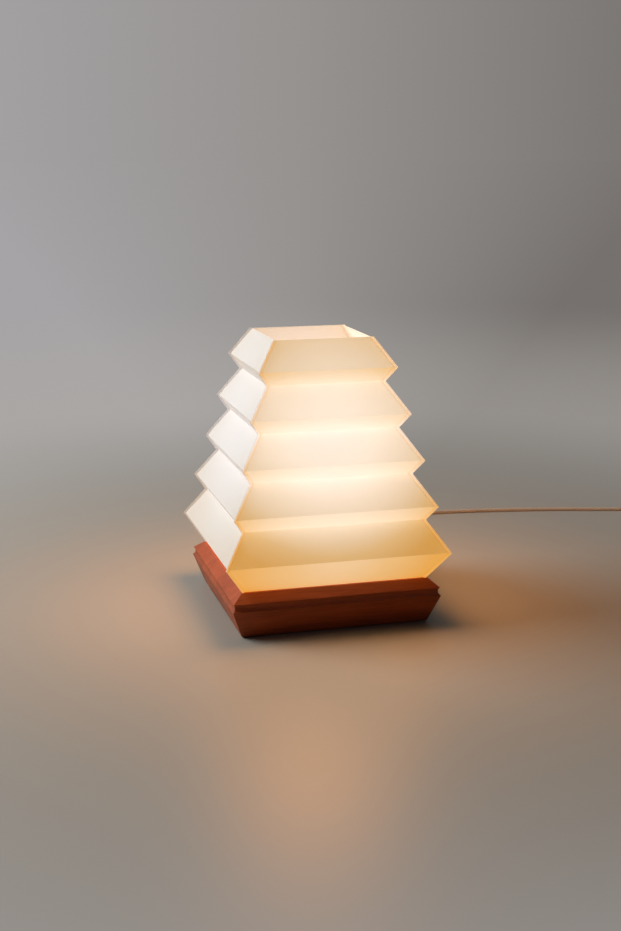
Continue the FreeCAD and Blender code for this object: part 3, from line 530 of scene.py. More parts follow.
RELIEF_TIP = Vector((0, 133.388, 0))
LEAD_RADIUS = 2.5
LEAD_PITCH = 5
LEAD_LEVEL = 13.0
SWITCH_PLACE = Vector((83.0, 141.8, 0))
SWITCH_HEADING = math.radians(30.3)
SWITCH_SPLIT = 8.0
COIL_PLACE = Vector((575.0, 90.1, 0))
COIL_TURNS = 6.25
COIL_RADIUS = 35.0
POINTS_A_TURN = 16
LOW_LAYER, HIGH_LAYER = 3.1, 8.1
PLUG_PLACE = Vector((609.4, 49.7, 0))
PLUG_HEADING = math.radians(-84.0)
PLUG_LEVEL = 7.0
PLUG_TAIL = 14


def ahead(angle, distance, level=0.0):
    """A step of some length along a heading."""
    return Vector((math.cos(angle) * distance, math.sin(angle) * distance, level))


def eased(value, start, end, low, high):
    """Goes from the low value to the high one between a start and an end."""
    share = min(max((value - start) / (end - start), 0), 1)
    return low + (high - low) * share


def coil_points():
    """Four turns side by side inwards, then two and a quarter on top, outwards again."""
    points = []
    for step in range(int(COIL_TURNS * POINTS_A_TURN) + 1):
        turn = step / POINTS_A_TURN
        radius = COIL_RADIUS
        for jog in (1.0, 2.0, 3.0):
            radius -= eased(turn, jog - 0.15, jog, 0, LEAD_PITCH)
        for jog in (4.40, 5.40):
            radius += eased(turn, jog, jog + 0.15, 0, LEAD_PITCH)
        level = eased(turn, 3.60, 3.85, LOW_LAYER, HIGH_LAYER)
        angle = math.radians(90) - 2 * math.pi * turn
        points.append(COIL_PLACE + ahead(angle, radius / math.cos(math.pi / POINTS_A_TURN), level))
    return points


def lead_points():
    to_switch = [
        (0, 0, LEAD_LEVEL), (0, 18.6, LEAD_LEVEL), (3.0, 42.6, 5.2), (11.0, 70.6, 2.5), (22.0, 95.6, 4.6),
    ]
    in_switch = [SWITCH_PLACE + ahead(SWITCH_HEADING, far, SWITCH_SPLIT) for far in (-47, -26, 26, 47)]
    to_coil = [
        (146.0, 175.2, 4.4), (172.0, 182.2, 2.5), (204.0, 186.8, 2.5), (243.0, 189.4, 2.5),
        (287.0, 187.8, 2.5), (335.0, 181.2, 2.5), (388.0, 171.8, 2.5), (440.0, 159.8, 2.5),
        (490.0, 145.6, 2.5), (533.0, 133.0, 2.5), (560.0, 126.9, 2.9),
    ]
    to_plug = [
        (605.2, 76.6, 7.9),
        PLUG_PLACE - ahead(PLUG_HEADING, PLUG_TAIL, -PLUG_LEVEL),
        PLUG_PLACE + Vector((0, 0, PLUG_LEVEL)),
    ]
    line = [*to_switch, *in_switch, *to_coil, *coil_points(), *to_plug]
    return [(RELIEF_TIP + Vector(point)) * MM for point in line]


def lay_lead():
    curve = bpy.data.curves.new("mains_lead", "CURVE")
    curve.dimensions = "3D"
    spline = curve.splines.new("NURBS")
    points = lead_points()
    spline.points.add(len(points) - 1)
    for point, place in zip(spline.points, points):
        point.co = (*place, 1)
    spline.order_u = 3
    spline.use_endpoint_u = True
    spline.resolution_u = 6
    curve.bevel_depth = LEAD_RADIUS * MM
    curve.bevel_resolution = 4
    curve.use_fill_caps = True
    return put_in_scene("mains_lead", curve)


lead = lay_lead()
lead_jacket = plain_moulding("lead_jacket_pvc", (0.58, 0.46, 0.345), 0.45)
finish_piece(lead, lead_jacket, "lamp", "lead_jacket",
             "lead_to_switch", "lead_to_coil", "lead_to_plug", "lead_coil")

# --- shade ---------------------------------------------------------------------------------------

# Four sheets, each one strip of ten facets; a facet is (length, 1 outwards or -1 inwards).
SHADE_FOOT_HALF = 99.0
SHADE_FOOT_LEVEL = 49.0
FOLD_SLOPE = math.radians(55.5)
FACETS = [(38.6, 1)] + [(40.0, -1), (19.2, 1)] * 4 + [(37.0, -1)]
FOLD_ROUND = 0.35
PAPER = 0.5
FIN_GAP = 0.02
FIN_REACH = 3.486
FIN_BLUNT = 0.4
# each sheet's painted glow: weaker on the back and left, where the window light falls, and cooler on the left
GLOW = {"front": 0.79, "right": 0.76, "back": 0.48, "left": 0.19}
WARM_GLOW, COOL_GLOW = (1.0, 1.0, 0.98), (0.87, 0.96, 1.24)
GLOW_TINT = {"front": WARM_GLOW, "right": WARM_GLOW, "back": WARM_GLOW, "left": COOL_GLOW}


def fold_line():
    """The paper's outer face as (half width, height) at each fold, from the base up."""
    width, height = SHADE_FOOT_HALF, SHADE_FOOT_LEVEL
    folds = [(width, height)]
    for length, outwards in FACETS:
        width += outwards * length * math.cos(FOLD_SLOPE)
        height += length * math.sin(FOLD_SLOPE)
        folds.append((width, height))
    return folds


def pull_up_facets(folds, inset):
    """The sheet's foot edge, pulled up fold by fold, with a small round on every fold."""
    foot_half, foot_level = folds[0]
    deselect()
    bpy.ops.mesh.primitive_plane_add(size=2 * (foot_half - inset) * MM, location=(0, 0, foot_level * MM))
    panel = name_piece("paper_front")
    settle(panel)
    open_piece(panel)
    pick(panel, "VERT", lambda point: point.co.y > 0)
    bpy.ops.mesh.delete(type="VERT")
    shift(panel, "VERT", lambda point: True, (0, -inset, 0))
    pick_all("EDGE")
    for (below, low), (above, high) in zip(folds, folds[1:]):
        bpy.ops.mesh.extrude_edges_move(
            TRANSFORM_OT_translate={"value": (0, (below - above) * MM, (high - low) * MM)})
        bpy.ops.transform.resize(value=((above - inset) / (below - inset), 1, 1), center_override=(0, 0, 0))
    levels = [height * MM for _, height in folds[1:-1]]
    pick(panel, "EDGE", lambda edge: any(
        abs(edge.verts[0].co.z - level) + abs(edge.verts[1].co.z - level) < NEARLY for level in levels))
    bpy.ops.mesh.bevel(offset=FOLD_ROUND * MM, segments=2, affect="EDGES")
    return panel


def turn_out_fins(panel, folds, inset):
    """Turns both side edges out on the diagonal, and takes the fins' points back a little."""
    out = (FIN_REACH + PAPER) / math.sqrt(2)
    for side in (1, -1):
        pick(panel, "EDGE", lambda edge: edge.is_boundary and min(
            side * edge.verts[0].co.x, side * edge.verts[1].co.x) > 0)
        bpy.ops.mesh.extrude_edges_move(TRANSFORM_OT_translate={"value": (side * out * MM, -out * MM, 0)})
    tips = [((width - inset + out) * MM, height * MM) for width, height in folds[1:-1:2]]
    for side in (1, -1):
        shift(panel, "VERT", lambda point: point.is_boundary and any(
            abs(side * point.co.x - far) + abs(point.co.z - high) < 0.5 * MM for far, high in tips),
            (-side * FIN_BLUNT, FIN_BLUNT, 0))


def fold_front_panel():
    """One folded sheet with its halves of the two fins at its sides."""
    folds = fold_line()
    inset = PAPER * math.sqrt(2)
    panel = pull_up_facets(folds, inset)
    turn_out_fins(panel, folds, inset)
    pick_all()
    bpy.ops.mesh.normals_make_consistent(inside=False)
    widest = max(bmesh.from_edit_mesh(panel.data).faces, key=lambda face: face.calc_area())
    if widest.normal.y > 0:
        bpy.ops.mesh.flip_normals()
    close_piece()
    thicken(panel, PAPER - FIN_GAP, even=True)
    smooth(panel, 30)
    return panel


papers = {"front": fold_front_panel()}
for side, angle in (("right", 90), ("back", 180), ("left", 270)):
    papers[side] = put(copied(papers["front"], f"paper_{side}"), turn=(0, 0, angle))
for side, piece in papers.items():
    sheet_finish = folded_paper(f"paper_{side}_sheet", GLOW[side], GLOW_TINT[side])
    finish_piece(piece, sheet_finish, "shade", "shade_paper", f"shade_{side}")

# --- bulb and lamp holder ------------------------------------------------------------------------

# The bulb's and the holder's heights count from their own feet.
HOLDER_FOOT = 63.0
HOLDER_BORE = 15.3
BULB_FOOT = 98.3
GLOBE_RISE = 75.0
GLOBE_RADIUS = 30.0
THREAD_PITCH = 3.62
WAVE_STEPS = 8
THREAD_STEPS = 40
FLUTE_DEPTH = 0.972


def threaded_shell(name, crest, root, low, high, wall):
    """A rolled sheet-metal screw shell: one wave of the thread, screwed round and cut off square."""
    deselect()
    bpy.ops.mesh.primitive_grid_add(x_subdivisions=1, y_subdivisions=1, size=1)
    shell = name_piece(name)
    open_piece(shell)
    pick(shell, "VERT", lambda point: point.co.x > 0 or point.co.y > 0)
    bpy.ops.mesh.delete(type="VERT")
    middle, swing = (crest + root) / 2, (crest - root) / 2
    wave = [middle - swing * math.cos(2 * math.pi * step / WAVE_STEPS) for step in range(WAVE_STEPS + 1)]
    start = low - 1.5 * THREAD_PITCH
    pick_all()
    bpy.ops.transform.translate(value=Vector((0.5 + wave[0] * MM, 0.5, start * MM)))
    for before, far in zip(wave, wave[1:]):
        bpy.ops.mesh.extrude_vertices_move(
            TRANSFORM_OT_translate={"value": ((far - before) * MM, 0, THREAD_PITCH / WAVE_STEPS * MM)})
    close_piece()
    screw = shell.modifiers.new("thread", "SCREW")
    screw.screw_offset = THREAD_PITCH * MM
    screw.iterations = math.ceil((high - low) / THREAD_PITCH) + 3
    screw.steps = screw.render_steps = THREAD_STEPS
    screw.use_merge_vertices = True
    screw.merge_threshold = SAME
    apply_modifiers(shell)
    open_piece(shell)
    merge_and_face_out()
    for level, side in ((low, 1), (high, -1)):
        bpy.ops.mesh.select_all(action="SELECT")
        bpy.ops.mesh.bisect(plane_co=(0, 0, level * MM), plane_no=(0, 0, side), clear_inner=True)
    merge_and_face_out()
    close_piece()
    thicken(shell, wall, offset=0)
    smooth(shell, 50)
    return shell


def model_bulb():
    """Contact, insulator, threaded cap, housing and globe; heights count from the bulb's foot."""
    foot = BULB_FOOT
    tip = turn_up("bulb_centre_contact", [
        (1.6, 0), (3.0, 0.15), (4.1, 0.55), (4.5, 1.2), (4.5, 1.5)], foot=foot)
    insulator = turn_up("bulb_black_insulator", [
        (4.4, 1.0), (6.4, 1.6), (8.2, 2.7), (9.6, 4.2), (10.4, 5.0)], foot=foot)
    thread = threaded_shell("bulb_threaded_cap", 12.85, 12.05, foot + 6.6, foot + 23.4, 0.4)
    lower_cap = turn_up("bulb_cap_foot", [
        (9.0, 4.0), (10.9, 4.7), (12.0, 6.2), (12.3, 6.9), (12.0, 7.1)], foot=foot)
    collar = turn_up("bulb_cap_collar", [
        (12.2, 22.8), (13.0, 23.2), (13.1, 24.2), (13.1, 26.7), (12.4, 27.2)], foot=foot)
    for piece in (tip, insulator, lower_cap, collar):
        smooth(piece, 50)
    cap = join_up("bulb_threaded_cap", [thread, lower_cap, collar])
    neck = turn_up("bulb_housing", [
        (12.6, 26.7), (14.0, 26.9), (14.4, 27.4), (14.45, 29.5), (14.9, 33.0), (15.8, 37.5), (17.1, 42.5),
        (18.7, 47.5), (20.2, 51.4), (20.9, 53.0), (20.9, 53.6), (20.3, 53.8)], 64, foot=foot)
    smooth(neck, 40)
    ball = [(GLOBE_RADIUS * math.cos(angle), GLOBE_RISE + GLOBE_RADIUS * math.sin(angle))
            for angle in map(math.radians, range(-44, 90, 6))]
    globe = turn_up("bulb_opal_globe", [
        (19.8, 53.4), (20.7, 53.3), *ball, (0, GLOBE_RISE + GLOBE_RADIUS)], 64, foot=foot)
    smooth(globe, 60)
    return tip, insulator, cap, neck, globe


def model_holder_cap():
    cap = turn_up("holder_domed_cap", [
        (5.2, 0), (7.4, 0), (8.0, 0.6), (8.0, 6.0), (9.8, 6.5), (12.6, 7.6), (15.4, 9.6), (17.6, 12.4),
        (18.9, 15.2), (19.5, 18.4), (19.5, 23.2), (19.1, 23.8), (17.6, 23.8), (17.5, 18.0), (15.0, 12.6),
        (11.0, 9.0), (6.0, 8.0), (5.2, 8.0), (5.2, 0)], 72, shut=False, foot=HOLDER_FOOT)
    smooth(cap, 35)
    return cap


def model_barrel():
    """The holder's body, with a flute pressed in every ten degrees."""
    bore = HOLDER_BORE
    barrel = turn_up("holder_ribbed_barrel", [
        (bore, 18.4), (bore + 1.9, 18.4), (bore + 1.9, 24.2), (19.0, 24.2), (19.45, 24.8), (19.4, 28.0),
        (19.35, 29.0), (18.85, 50.0), (18.8, 51.0), (18.7, 53.5), (18.9, 54.2), (18.9, 56.6), (18.5, 57.6),
        (17.9, 58.0), (bore + 0.5, 58.0), (bore, 57.5), (bore, 18.4)], 144, shut=False, foot=HOLDER_FOOT)

    def in_flute(point):
        angle = math.degrees(math.atan2(point.co.y, point.co.x)) % 10
        level = point.co.z / MM - HOLDER_FOOT
        return 2 < angle < 8 and 28.5 < level < 50.5 and point.co.xy.length > (bore + 2.5) * MM

    open_piece(barrel)
    pick(barrel, "VERT", in_flute)
    bpy.ops.transform.resize(value=(FLUTE_DEPTH, FLUTE_DEPTH, 1), center_override=(0, 0, 0))
    close_piece()
    smooth(barrel, 25)
    return barrel


def model_holder_inside():
    """The insulating insert, the threaded shell on it and the bent contact strip."""
    foot = HOLDER_FOOT
    insert = turn_up("holder_steatite_insert", [
        (1.0, 20.0), (14.4, 20.0), (15.05, 20.6), (15.05, 31.2), (14.5, 32.0), (1.0, 32.0), (1.0, 20.0)],
        72, shut=False, foot=foot)
    smooth(insert, 35)
    shell = threaded_shell("holder_threaded_shell", 14.05, 13.45, foot + 32.1, foot + 53.9, 0.35)
    contact = block("holder_contact_strip", (-4.0, -2.4, foot + 32.0), (4.0, 2.4, foot + 32.5))
    open_piece(contact)
    cut_across("X", (-2.2, 0.0, 2.2, 3.0))
    shift(contact, "VERT", lambda point: point.co.x > 2.9 * MM, (0, 0, 1.2))
    shift(contact, "VERT", lambda point: -SAME < point.co.x < 2.3 * MM, (0, 0, 2.3))
    close_piece()
    ease(contact, 0.15)
    return insert, shell, contact


# --- ends and switch of the mains lead -----------------------------------------------------------

# The plug is modelled pins first along X, the switch with its length along X, both on the table.
SLEEVE_BORE = 2.6
FLANGE_BACK, FLANGE_FACE, TAIL_FOOT = 85.693, 88.193, 109.4
PLUG_LENGTH = 34
PIN_OFFSET = 9.5
REST_START, REST_END, REST_HALF = 14.0, 26.0, 5.0
RIB_PITCH, RIB_GAP = 2.0, 1.2
REST_DEPTH, RIB_HEIGHT = 0.6, 0.5
SWITCH_END = 29.5
ROCKER_PIVOT, ROCKER_TIP = 11.0, 7.0
ROCKER_MIDDLE, ROCKER_RISE, ROCKER_HALF = 4.72, 1.1, 8.32
MARK_AT = 5.2


def ribbed_sleeve(name, thick, thin, start, length, ribs):
    """A tapered bend relief of soft rings with a slot between each two."""
    rings = [(SLEEVE_BORE, start), (thick, start)]
    pitch = length / ribs
    for rib in range(ribs):
        low = start + rib * pitch
        wide = thick + (thin - thick) * (rib + 0.5) / ribs
        waist = max(wide - 0.75, SLEEVE_BORE + 0.3)
        rings += [(wide, low + 0.15 * pitch), (wide, low + 0.60 * pitch), (waist, low + 0.68 * pitch),
                  (waist, low + 0.95 * pitch)]
    rings += [(thin, start + length), (SLEEVE_BORE, start + length), (SLEEVE_BORE, start)]
    return ease(turn_up(name, rings, 40, shut=False), 0.12, 50)


def model_base_relief():
    """The relief in the back rail: a flange inside, a plain part in the hole and a ribbed tail."""
    tail = ribbed_sleeve("ribbed_relief", 4.3, 3.4, TAIL_FOOT, 24.0, 6)
    plain = turn_up("relief_collar", [
        (SLEEVE_BORE, FLANGE_BACK), (6.6, FLANGE_BACK), (7.0, 86.1), (7.0, 87.8), (6.7, FLANGE_FACE),
        (4.3, FLANGE_FACE), (4.3, TAIL_FOOT + 0.1), (SLEEVE_BORE, TAIL_FOOT + 0.1),
        (SLEEVE_BORE, FLANGE_BACK)], 40, shut=False)
    smooth(plain, 40)
    return put(join_up("ribbed_relief", [tail, plain]), (0, 0, LEAD_LEVEL), (-90, 0, 0))


def at_plug(piece):
    return put(piece, RELIEF_TIP + PLUG_PLACE, (0, 0, math.degrees(PLUG_HEADING)))


def at_switch(piece):
    return put(piece, RELIEF_TIP + SWITCH_PLACE, (0, 0, math.degrees(SWITCH_HEADING)))


def press_thumb_rests(body):
    """A sunk rest with raised ribs on the plug's top and on its underside."""

    def on_rest(face, upwards):
        middle = face.calc_center_median() / MM
        return (face.normal.z * upwards > 0.9 and REST_START < middle.x < REST_END
                and abs(middle.y) < REST_HALF)

    def on_rib(face):
        return (face.calc_center_median().x / MM - REST_START) % RIB_PITCH > RIB_GAP

    ribs = range(round((REST_END - REST_START) / RIB_PITCH))
    edges = [REST_START + RIB_PITCH * rib + far for rib in ribs for far in (0, RIB_GAP)]
    cut_across("X", [*edges, REST_END])
    cut_across("Y", (-REST_HALF, REST_HALF))
    for upwards in (1, -1):
        pull(body, "FACE", lambda face: on_rest(face, upwards), (0, 0, -REST_DEPTH * upwards))
        pull(body, "FACE", lambda face: on_rest(face, upwards) and on_rib(face), (0, 0, RIB_HEIGHT * upwards))


def model_plug_body():
    """A slim plug: the plan widens from the lead to the pins."""
    body = block("plug_moulding", (0, -6, 0), (PLUG_LENGTH, 6, 2 * PLUG_LEVEL))
    open_piece(body)
    cut_across("X", (4, 9, 13, 17, 21, 28))
    widths = {0: 4.6, 4: 5.4, 9: 6.4, 13: 8.9, 17: 11.3, 21: 12.6, 28: 13.0, PLUG_LENGTH: 12.7}
    for along, half in widths.items():
        pick(body, "VERT", lambda point: abs(point.co.x - along * MM) < NEARLY)
        deep = 1.0 if along > 8 else 0.72 + along * 0.031
        bpy.ops.transform.resize(value=(1, half / 6, deep), center_override=(0, 0, PLUG_LEVEL * MM))
    close_piece()
    round_edges(body, 3.2, 60, segments=5)
    apply_modifiers(body)
    open_piece(body)
    press_thumb_rests(body)
    merge_and_face_out()
    close_piece()
    smooth(body, 40)
    return body


def model_plug():
    """The plug's body, its bend relief, its two pins and the sleeves on them."""
    body = model_plug_body()
    relief = put(ribbed_sleeve("plug_relief", 4.4, 3.3, 0, 15.0, 4), (1.5, 0, PLUG_LEVEL), (0, -90, 0))
    pins, sleeves = [], []
    for side in (-1, 1):
        pin = turn_up("pin", [
            (1.5, 0), (1.5, 9.8), (2.0, 10.1), (2.0, 17.8), (1.8, 18.5), (1.2, 18.9), (0, 19.0)], 32)
        sleeve = turn_up("pin_sleeve", [
            (1.5, -1.0), (1.9, -1.0), (1.9, 9.9), (1.8, 10.1), (1.5, 10.1), (1.5, -1.0)], 32, shut=False)
        for piece, group in ((pin, pins), (sleeve, sleeves)):
            smooth(piece, 50)
            group.append(put(piece, (PLUG_LENGTH, side * PIN_OFFSET, PLUG_LEVEL), (0, 90, 0)))
    return [at_plug(piece) for piece in (
        body, relief, join_up("pin_pair", pins), join_up("pin_sleeves", sleeves))]


def model_switch_details():
    """Short ribbed reliefs at both ends, and the raised bar and ring on the rocker."""
    reliefs = [
        put(ribbed_sleeve("switch_relief", 4.2, 3.3, 0, 13.0, 4), (side * SWITCH_END, 0, SWITCH_SPLIT),
            (0, side * 90, 0))
        for side in (1, -1)]
    ring = turn_up("rocker_ring", [(1.0, 0), (1.4, 0), (1.4, 0.35), (1.0, 0.35), (1.0, 0)], 32, shut=False)
    bar = block("rocker_bar", (-0.25, -1.4, 0), (0.25, 1.4, 0.35))
    slope = ROCKER_RISE / ROCKER_HALF
    level = ROCKER_MIDDLE + MARK_AT * slope
    tilt = math.degrees(math.atan(slope))
    marks = [put(ease(piece, 0.1), (side * MARK_AT, 0, level), (0, -side * tilt, 0))
             for piece, side in ((bar, 1), (ring, -1))]
    marks = put(join_up("switch_marks", marks), (0, 0, ROCKER_PIVOT), (0, ROCKER_TIP, 0))
    return at_switch(join_up("switch_reliefs", reliefs)), at_switch(marks)


def model_coil_tie():
    """A soft strap round the coil's turns, with its end laid over the top."""
    strap = block("coil_tie", (-11.1, -3.5, 0), (11.1, 3.5, 11.7))
    open_piece(strap)
    pick(strap, "FACE", lambda face: abs(face.normal.y) > 0.9)
    bpy.ops.mesh.delete(type="FACE")
    pick(strap, "EDGE", lambda edge: not edge.is_boundary)
    bpy.ops.mesh.bevel(offset=3.0 * MM, segments=5, affect="EDGES")
    close_piece()
    thicken(strap, 0.6)
    ease(strap, 0.15, 50)
    tail = block("tie_tail", (-6.0, -3.5, 11.6), (7.5, 3.5, 12.2))
    open_piece(tail)
    cut_across("X", (-4.0, 2.0, 5.5))
    shift(tail, "VERT", lambda point: point.co.x > 7 * MM, (0, 0, 0.5))
    pick(tail, "VERT", lambda point: point.co.x < -5 * MM)
    bpy.ops.transform.resize(value=(1, 0.7, 0.4), center_override=(0, 0, 11.6 * MM))
    close_piece()
    ease(tail, 0.2, 50)
    return put(join_up("coil_tie", [strap, tail]), RELIEF_TIP + COIL_PLACE - Vector((27.5, 0, 0)))


# --- screws --------------------------------------------------------------------------------------

BOARD_SCREW_AT = 77.2
BOARD_SCREW_LEVEL = 1.2
SWITCH_SCREW_ALONG, SWITCH_SCREW_ACROSS = 26.5, 5.5


def cross_screw(name, head, shank, length, recess):
    """A countersunk screw, head down, with a cross cut into its head."""
    flat = head * 0.94
    screw = turn_up(name, [
        (flat, 0), (head, 0.15), (head, 0.4), (shank, head - shank + 0.4), (shank, length - 3),
        (0, length)], 40)
    open_piece(screw)
    pick(screw, "FACE", lambda face: face.normal.z < -0.9 and len(face.verts) > 20)
    bpy.ops.mesh.inset(thickness=(flat - recess) * MM, depth=0)
    pick(screw, "VERT", lambda point: abs(point.co.z) < SAME and point.co.xy.length < recess * 1.05 * MM
         and min(abs(point.co.x), abs(point.co.y)) > 0.30 * recess * MM)
    bpy.ops.transform.resize(value=(0.42, 0.42, 1), center_override=(0, 0, 0))
    pull(screw, "FACE", lambda face: face.normal.z < -0.9 and face.calc_center_median().xy.length < 0.1 * MM,
         (0, 0, 0.3 * head))
    bpy.ops.transform.resize(value=(0.7, 0.7, 1), center_override=(0, 0, 0))
    merge_and_face_out()
    close_piece()
    smooth(screw, 40)
    return screw


def screws_at(name, pattern, places):
    """Copies of one screw at their places, joined as one set."""
    copies = [put(copied(pattern, f"{name}_{number}"), place) for number, place in enumerate(places)]
    bpy.data.objects.remove(pattern)
    return join_up(name, copies)


# --- finishes of the solid pieces ----------------------------------------------------------------

SIDES = ("front", "back", "left", "right")
FEET = ("foot_1", "foot_2", "foot_3", "foot_4")
BLOCKS = ("corner_block_1", "corner_block_2", "corner_block_3", "corner_block_4")
EASED = {
    "switch_lower": 0.35, "switch_upper": 0.35, "switch_rocker": 0.45, "stem_tube": 0.4, "stem_nut": 0.4,
    "clamp_bar": 0.5, "clamp_block": 0.5, "base_top_board": 0.5, "base_bottom_board": 0.4,
    **{foot: 0.3 for foot in FEET},
}

zinc = drawn_metal("zinc_plated_steel", (0.72, 0.73, 0.75), 0.32)
switch_plastic = plain_moulding("switch_shell", (0.64, 0.54, 0.43), 0.42)
rocker_plastic = plain_moulding("switch_rocker_key", (0.60, 0.50, 0.39), 0.28)
dress(stained_wood("stained_wood_along_x"), "base_rail_front", "base_rail_back")
dress(stained_wood("stained_wood_along_y", ALONG_Y), "base_rail_left", "base_rail_right")
dress(plain_birch("birch_board_along_x"), "base_top_board", "base_bottom_board")
dress(plain_birch("birch_block_along_y", ALONG_Y), *BLOCKS)
dress(pressed_felt("wool_felt", (0.09, 0.075, 0.065)), *FEET)
dress(zinc, "stem_washer", "stem_nut", "stem_nipple", "clamp_screws")
dress(drawn_metal("brown_painted_stem", (0.30, 0.20, 0.14), 0.38), "stem_tube")
dress(lead_jacket, "lead_inner")
dress(plain_moulding("brown_core", (0.16, 0.06, 0.025), 0.4), "core_live")
dress(plain_moulding("blue_core", (0.03, 0.12, 0.42), 0.4), "core_neutral")
dress(plain_moulding("clamp_nylon", (0.70, 0.68, 0.62), 0.45), "clamp_block", "clamp_bar")
dress(switch_plastic, "switch_lower", "switch_upper")
dress(rocker_plastic, "switch_rocker")
for side in SIDES:
    round_edges(nodes[f"base_rail_{side}"], 0.4, 25)
for name, width in EASED.items():
    round_edges(nodes[name], width, 40)

# --- new pieces, each with its finish, body and the solids it takes the place of -----------------

holder_plastic = plain_moulding("holder_thermoplastic", (0.75, 0.74, 0.71), 0.4)
steatite = plain_moulding("unglazed_steatite", (0.72, 0.68, 0.60), 0.6, 0.0006)
brass = drawn_metal("contact_brass", (0.80, 0.58, 0.25), 0.28)
nickel = drawn_metal("nickelled_cap", (0.70, 0.70, 0.69), 0.26)
black_glass = plain_moulding("black_glass", (0.02, 0.02, 0.022), 0.12)
housing = plain_moulding("bulb_white_housing", (0.80, 0.79, 0.77), 0.35)
opal = opal_glass("opal_globe_glass", 1.3)
sleeve_plastic = plain_moulding("pin_sleeve_plastic", (0.55, 0.45, 0.35), 0.5)
strap_felt = pressed_felt("woven_tie_strap", (0.50, 0.44, 0.36))

bulb_tip, bulb_insulator, bulb_cap, bulb_neck, globe = model_bulb()
finish_piece(bulb_tip, nickel, "bulb", "bulb_metal", "bulb_tip")
finish_piece(bulb_insulator, black_glass, "bulb", "bulb_black_glass", "bulb_insulator")
finish_piece(bulb_cap, nickel, "bulb", "bulb_metal", "bulb_screw_cap")
finish_piece(bulb_neck, housing, "bulb", "bulb_housing", "bulb_neck")
finish_piece(globe, opal, "bulb", "bulb_opal", "bulb_globe")
globe.visible_shadow = False

finish_piece(model_holder_cap(), holder_plastic, "lamp", "holder_plastic", "holder_cap")
finish_piece(model_barrel(), holder_plastic, "lamp", "holder_plastic", "holder_body")
holder_insert, holder_shell, holder_contact = model_holder_inside()
finish_piece(holder_insert, steatite, "lamp", "steatite", "holder_insert")
finish_piece(holder_shell, brass, "lamp", "contact_brass", "holder_screw_shell")
finish_piece(holder_contact, brass, "lamp", "contact_brass", "holder_contact")

base_relief = finish_piece(model_base_relief(), lead_jacket, "lamp", "lead_jacket", "strain_relief")
plug_body, plug_relief, pins, sleeves = model_plug()
finish_piece(plug_body, switch_plastic, "lamp", "switch_plastic", "plug_body")
finish_piece(plug_relief, switch_plastic, "lamp", "switch_plastic")
finish_piece(pins, nickel, "lamp", "contact_brass", "plug_pins")
finish_piece(sleeves, sleeve_plastic, "lamp", "switch_plastic")
switch_reliefs, switch_marks = model_switch_details()
finish_piece(switch_reliefs, switch_plastic, "lamp", "switch_plastic")
finish_piece(switch_marks, rocker_plastic, "rocker", "rocker_plastic")
coil_tie = finish_piece(model_coil_tie(), strap_felt, "lamp", "tie_plastic", "lead_tie")

board_screws = screws_at("board_screw_set", cross_screw("board_screw", 4.0, 2.0, 22.0, 2.2), [
    (x * BOARD_SCREW_AT, y * BOARD_SCREW_AT, BOARD_SCREW_LEVEL) for x in (1, -1) for y in (1, -1)])
finish_piece(board_screws, zinc, "lamp", "zinc_steel", "bottom_screws")
switch_screws = screws_at("switch_screw_pair", cross_screw("switch_screw", 2.2, 1.25, 12.0, 1.3), [
    (side * SWITCH_SCREW_ALONG, side * SWITCH_SCREW_ACROSS, 0) for side in (1, -1)])
finish_piece(at_switch(switch_screws), zinc, "lamp", "zinc_steel", "switch_screws")

# --- table and room ------------------------------------------------------------------------------

TABLE_RADIUS = 40
TABLE_COLOUR = (0.368, 0.350, 0.304)
FADE_START, FADE_END = 0.30, 1.25
WALL_START, WALL_END = 1.0, 3.2
SWEEP_RIGHT = 0.5
# painted light of the sweep from left to right, on the far table and on the wall behind
TABLE_PAINTED_LIGHT = [(0.0, (0.405, 0.385, 0.375)), (0.5, (0.37, 0.35, 0.335)), (1.0, (0.30, 0.28, 0.26))]
WALL_PAINTED_LIGHT = [(0.0, (0.385, 0.370, 0.385)), (0.5, (0.305, 0.290, 0.280)), (1.0, (0.180, 0.165, 0.155))]
ROOM_COLOUR = (0.62, 0.62, 0.65)
ROOM_LEVEL = 0.04


def seen_directly(tree):
    """1 for what the eye sees straight, in a gloss or through glass."""
    path = tree.add("ShaderNodeLightPath").outputs
    gloss = tree.reckon("MAXIMUM", path["Is Camera Ray"], path["Is Glossy Ray"])
    return tree.reckon("MAXIMUM", gloss, path["Is Transmission Ray"])


def painted_light_sweep(tree, way, tones):
    """The grey sweep behind the lamp, with painted light: lighter towards the window on the left."""
    return tree.ramp(tree.share(tree.parts(way)["X"], 0.0, SWEEP_RIGHT), tones)


def lay_table():
    deselect()
    bpy.ops.mesh.primitive_circle_add(vertices=96, radius=TABLE_RADIUS, fill_type="NGON", location=(0, 0, 0))
    table = name_piece("table_top")
    top = Finish("warm_grey_table")
    top.set("Base Color", TABLE_COLOUR)
    top.set("Roughness", 0.42)
    top.set("Specular IOR Level", 0.22)
    here = top.place()
    far = top.vector("LENGTH", here)
    way = top.vector("NORMALIZE", here)
    # painted light: from 1.0 m to 3.2 m the sweep goes from the table's lighter painted light to the wall's
    # darker one
    rise = top.share(far, WALL_START, WALL_END, "SMOOTHSTEP")
    sweep = top.blend(rise, painted_light_sweep(top, way, TABLE_PAINTED_LIGHT), painted_light_sweep(top, way, WALL_PAINTED_LIGHT))
    wall = top.add("ShaderNodeEmission", {"Color": sweep}).outputs[0]
    fade = top.reckon("MULTIPLY", top.share(far, FADE_START, FADE_END, "SMOOTHSTEP"), seen_directly(top))
    top.show(top.mix(fade, top.surface.outputs[0], wall))
    table.data.materials.append(top.material)
    return table


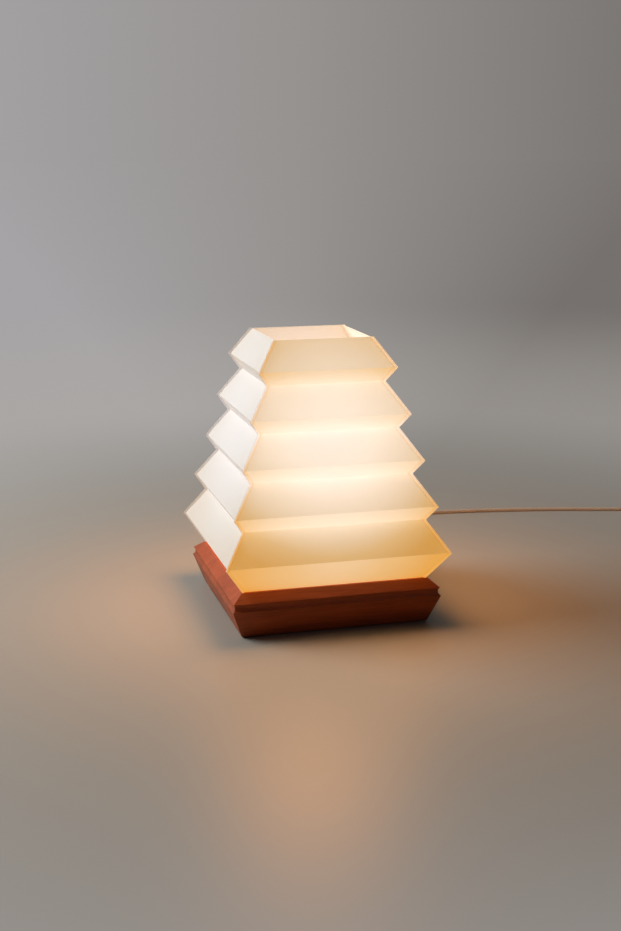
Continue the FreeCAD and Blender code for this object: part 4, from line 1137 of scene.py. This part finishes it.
def paint_room():
    world = bpy.data.worlds.new("room")
    bpy.context.scene.world = world
    world.use_nodes = True
    room = Nodes(world.node_tree)
    dim = room.add("ShaderNodeBackground", {"Color": ROOM_COLOUR, "Strength": ROOM_LEVEL}).outputs[0]
    way = room.add("ShaderNodeTexCoord").outputs["Generated"]
    wall = room.add("ShaderNodeBackground", {"Color": painted_light_sweep(room, way, WALL_PAINTED_LIGHT)}).outputs[0]
    seen = room.mix(seen_directly(room), dim, wall)
    room.join(seen, room.tree.nodes["World Output"].inputs["Surface"])


# --- lamps ---------------------------------------------------------------------------------------


def soft_light(name, place, aim, size, power, colour):
    light = bpy.data.lights.new(name, "AREA")
    light.shape = "DISK"
    light.size = size
    light.energy = power
    light.color = colour
    lamp = put_in_scene(name, light, place)
    lamp.rotation_euler = (Vector(aim) - Vector(place)).to_track_quat("-Z", "Y").to_euler()


def glow_lamp(name, place, size, power, colour):
    light = bpy.data.lights.new(name, "POINT")
    light.shadow_soft_size = size
    light.energy = power
    light.color = colour
    return put_in_scene(name, light, place)


def group_of(name, pieces):
    """A set of pieces that a lamp lights, or that stop its light."""
    group = bpy.data.collections.new(name)
    for piece in pieces:
        group.objects.link(piece)
    return group


base_pieces = [nodes[name] for name in nodes if name.startswith("base_")]
rails = [nodes[f"base_rail_{side}"] for side in SIDES]
outside_pieces = [
    lead, base_relief, plug_body, plug_relief, pins, sleeves, switch_reliefs, switch_marks, coil_tie,
    nodes["switch_lower"], nodes["switch_upper"], nodes["switch_rocker"]]
table = lay_table()
paint_room()
soft_light("window_light", (-1.55, 0.70, 1.35), (0, 0, 0.15), size=1.5, power=42, colour=(0.95, 0.97, 0.98))
soft_light("top_light", (-0.1, 0.5, 2.6), (0, 0.1, 0), size=2.0, power=4, colour=(1.0, 0.98, 0.95))
glow_lamp("globe_light", GLOBE_CENTRE, size=0.028, power=0.03, colour=(1.0, 0.72, 0.45))
# the paper lets the globe's light out on to the table and the base; only the base stops it
glow = glow_lamp("glow_through_paper", (0, 0, 0.19), size=0.09, power=5.0, colour=(1.0, 0.37, 0.06))
glow.light_linking.receiver_collection = group_of("lit_by_the_shade", [table, *outside_pieces])
glow.light_linking.blocker_collection = group_of("stops_the_glow", base_pieces)
rail_glow = glow_lamp("glow_on_the_mouldings", (0, 0, 0.16), size=0.13, power=7.2, colour=(1.0, 0.36, 0.04))
rail_glow.light_linking.receiver_collection = group_of("lit_mouldings", rails)
rail_glow.light_linking.blocker_collection = group_of("stops_the_rail_glow", base_pieces)
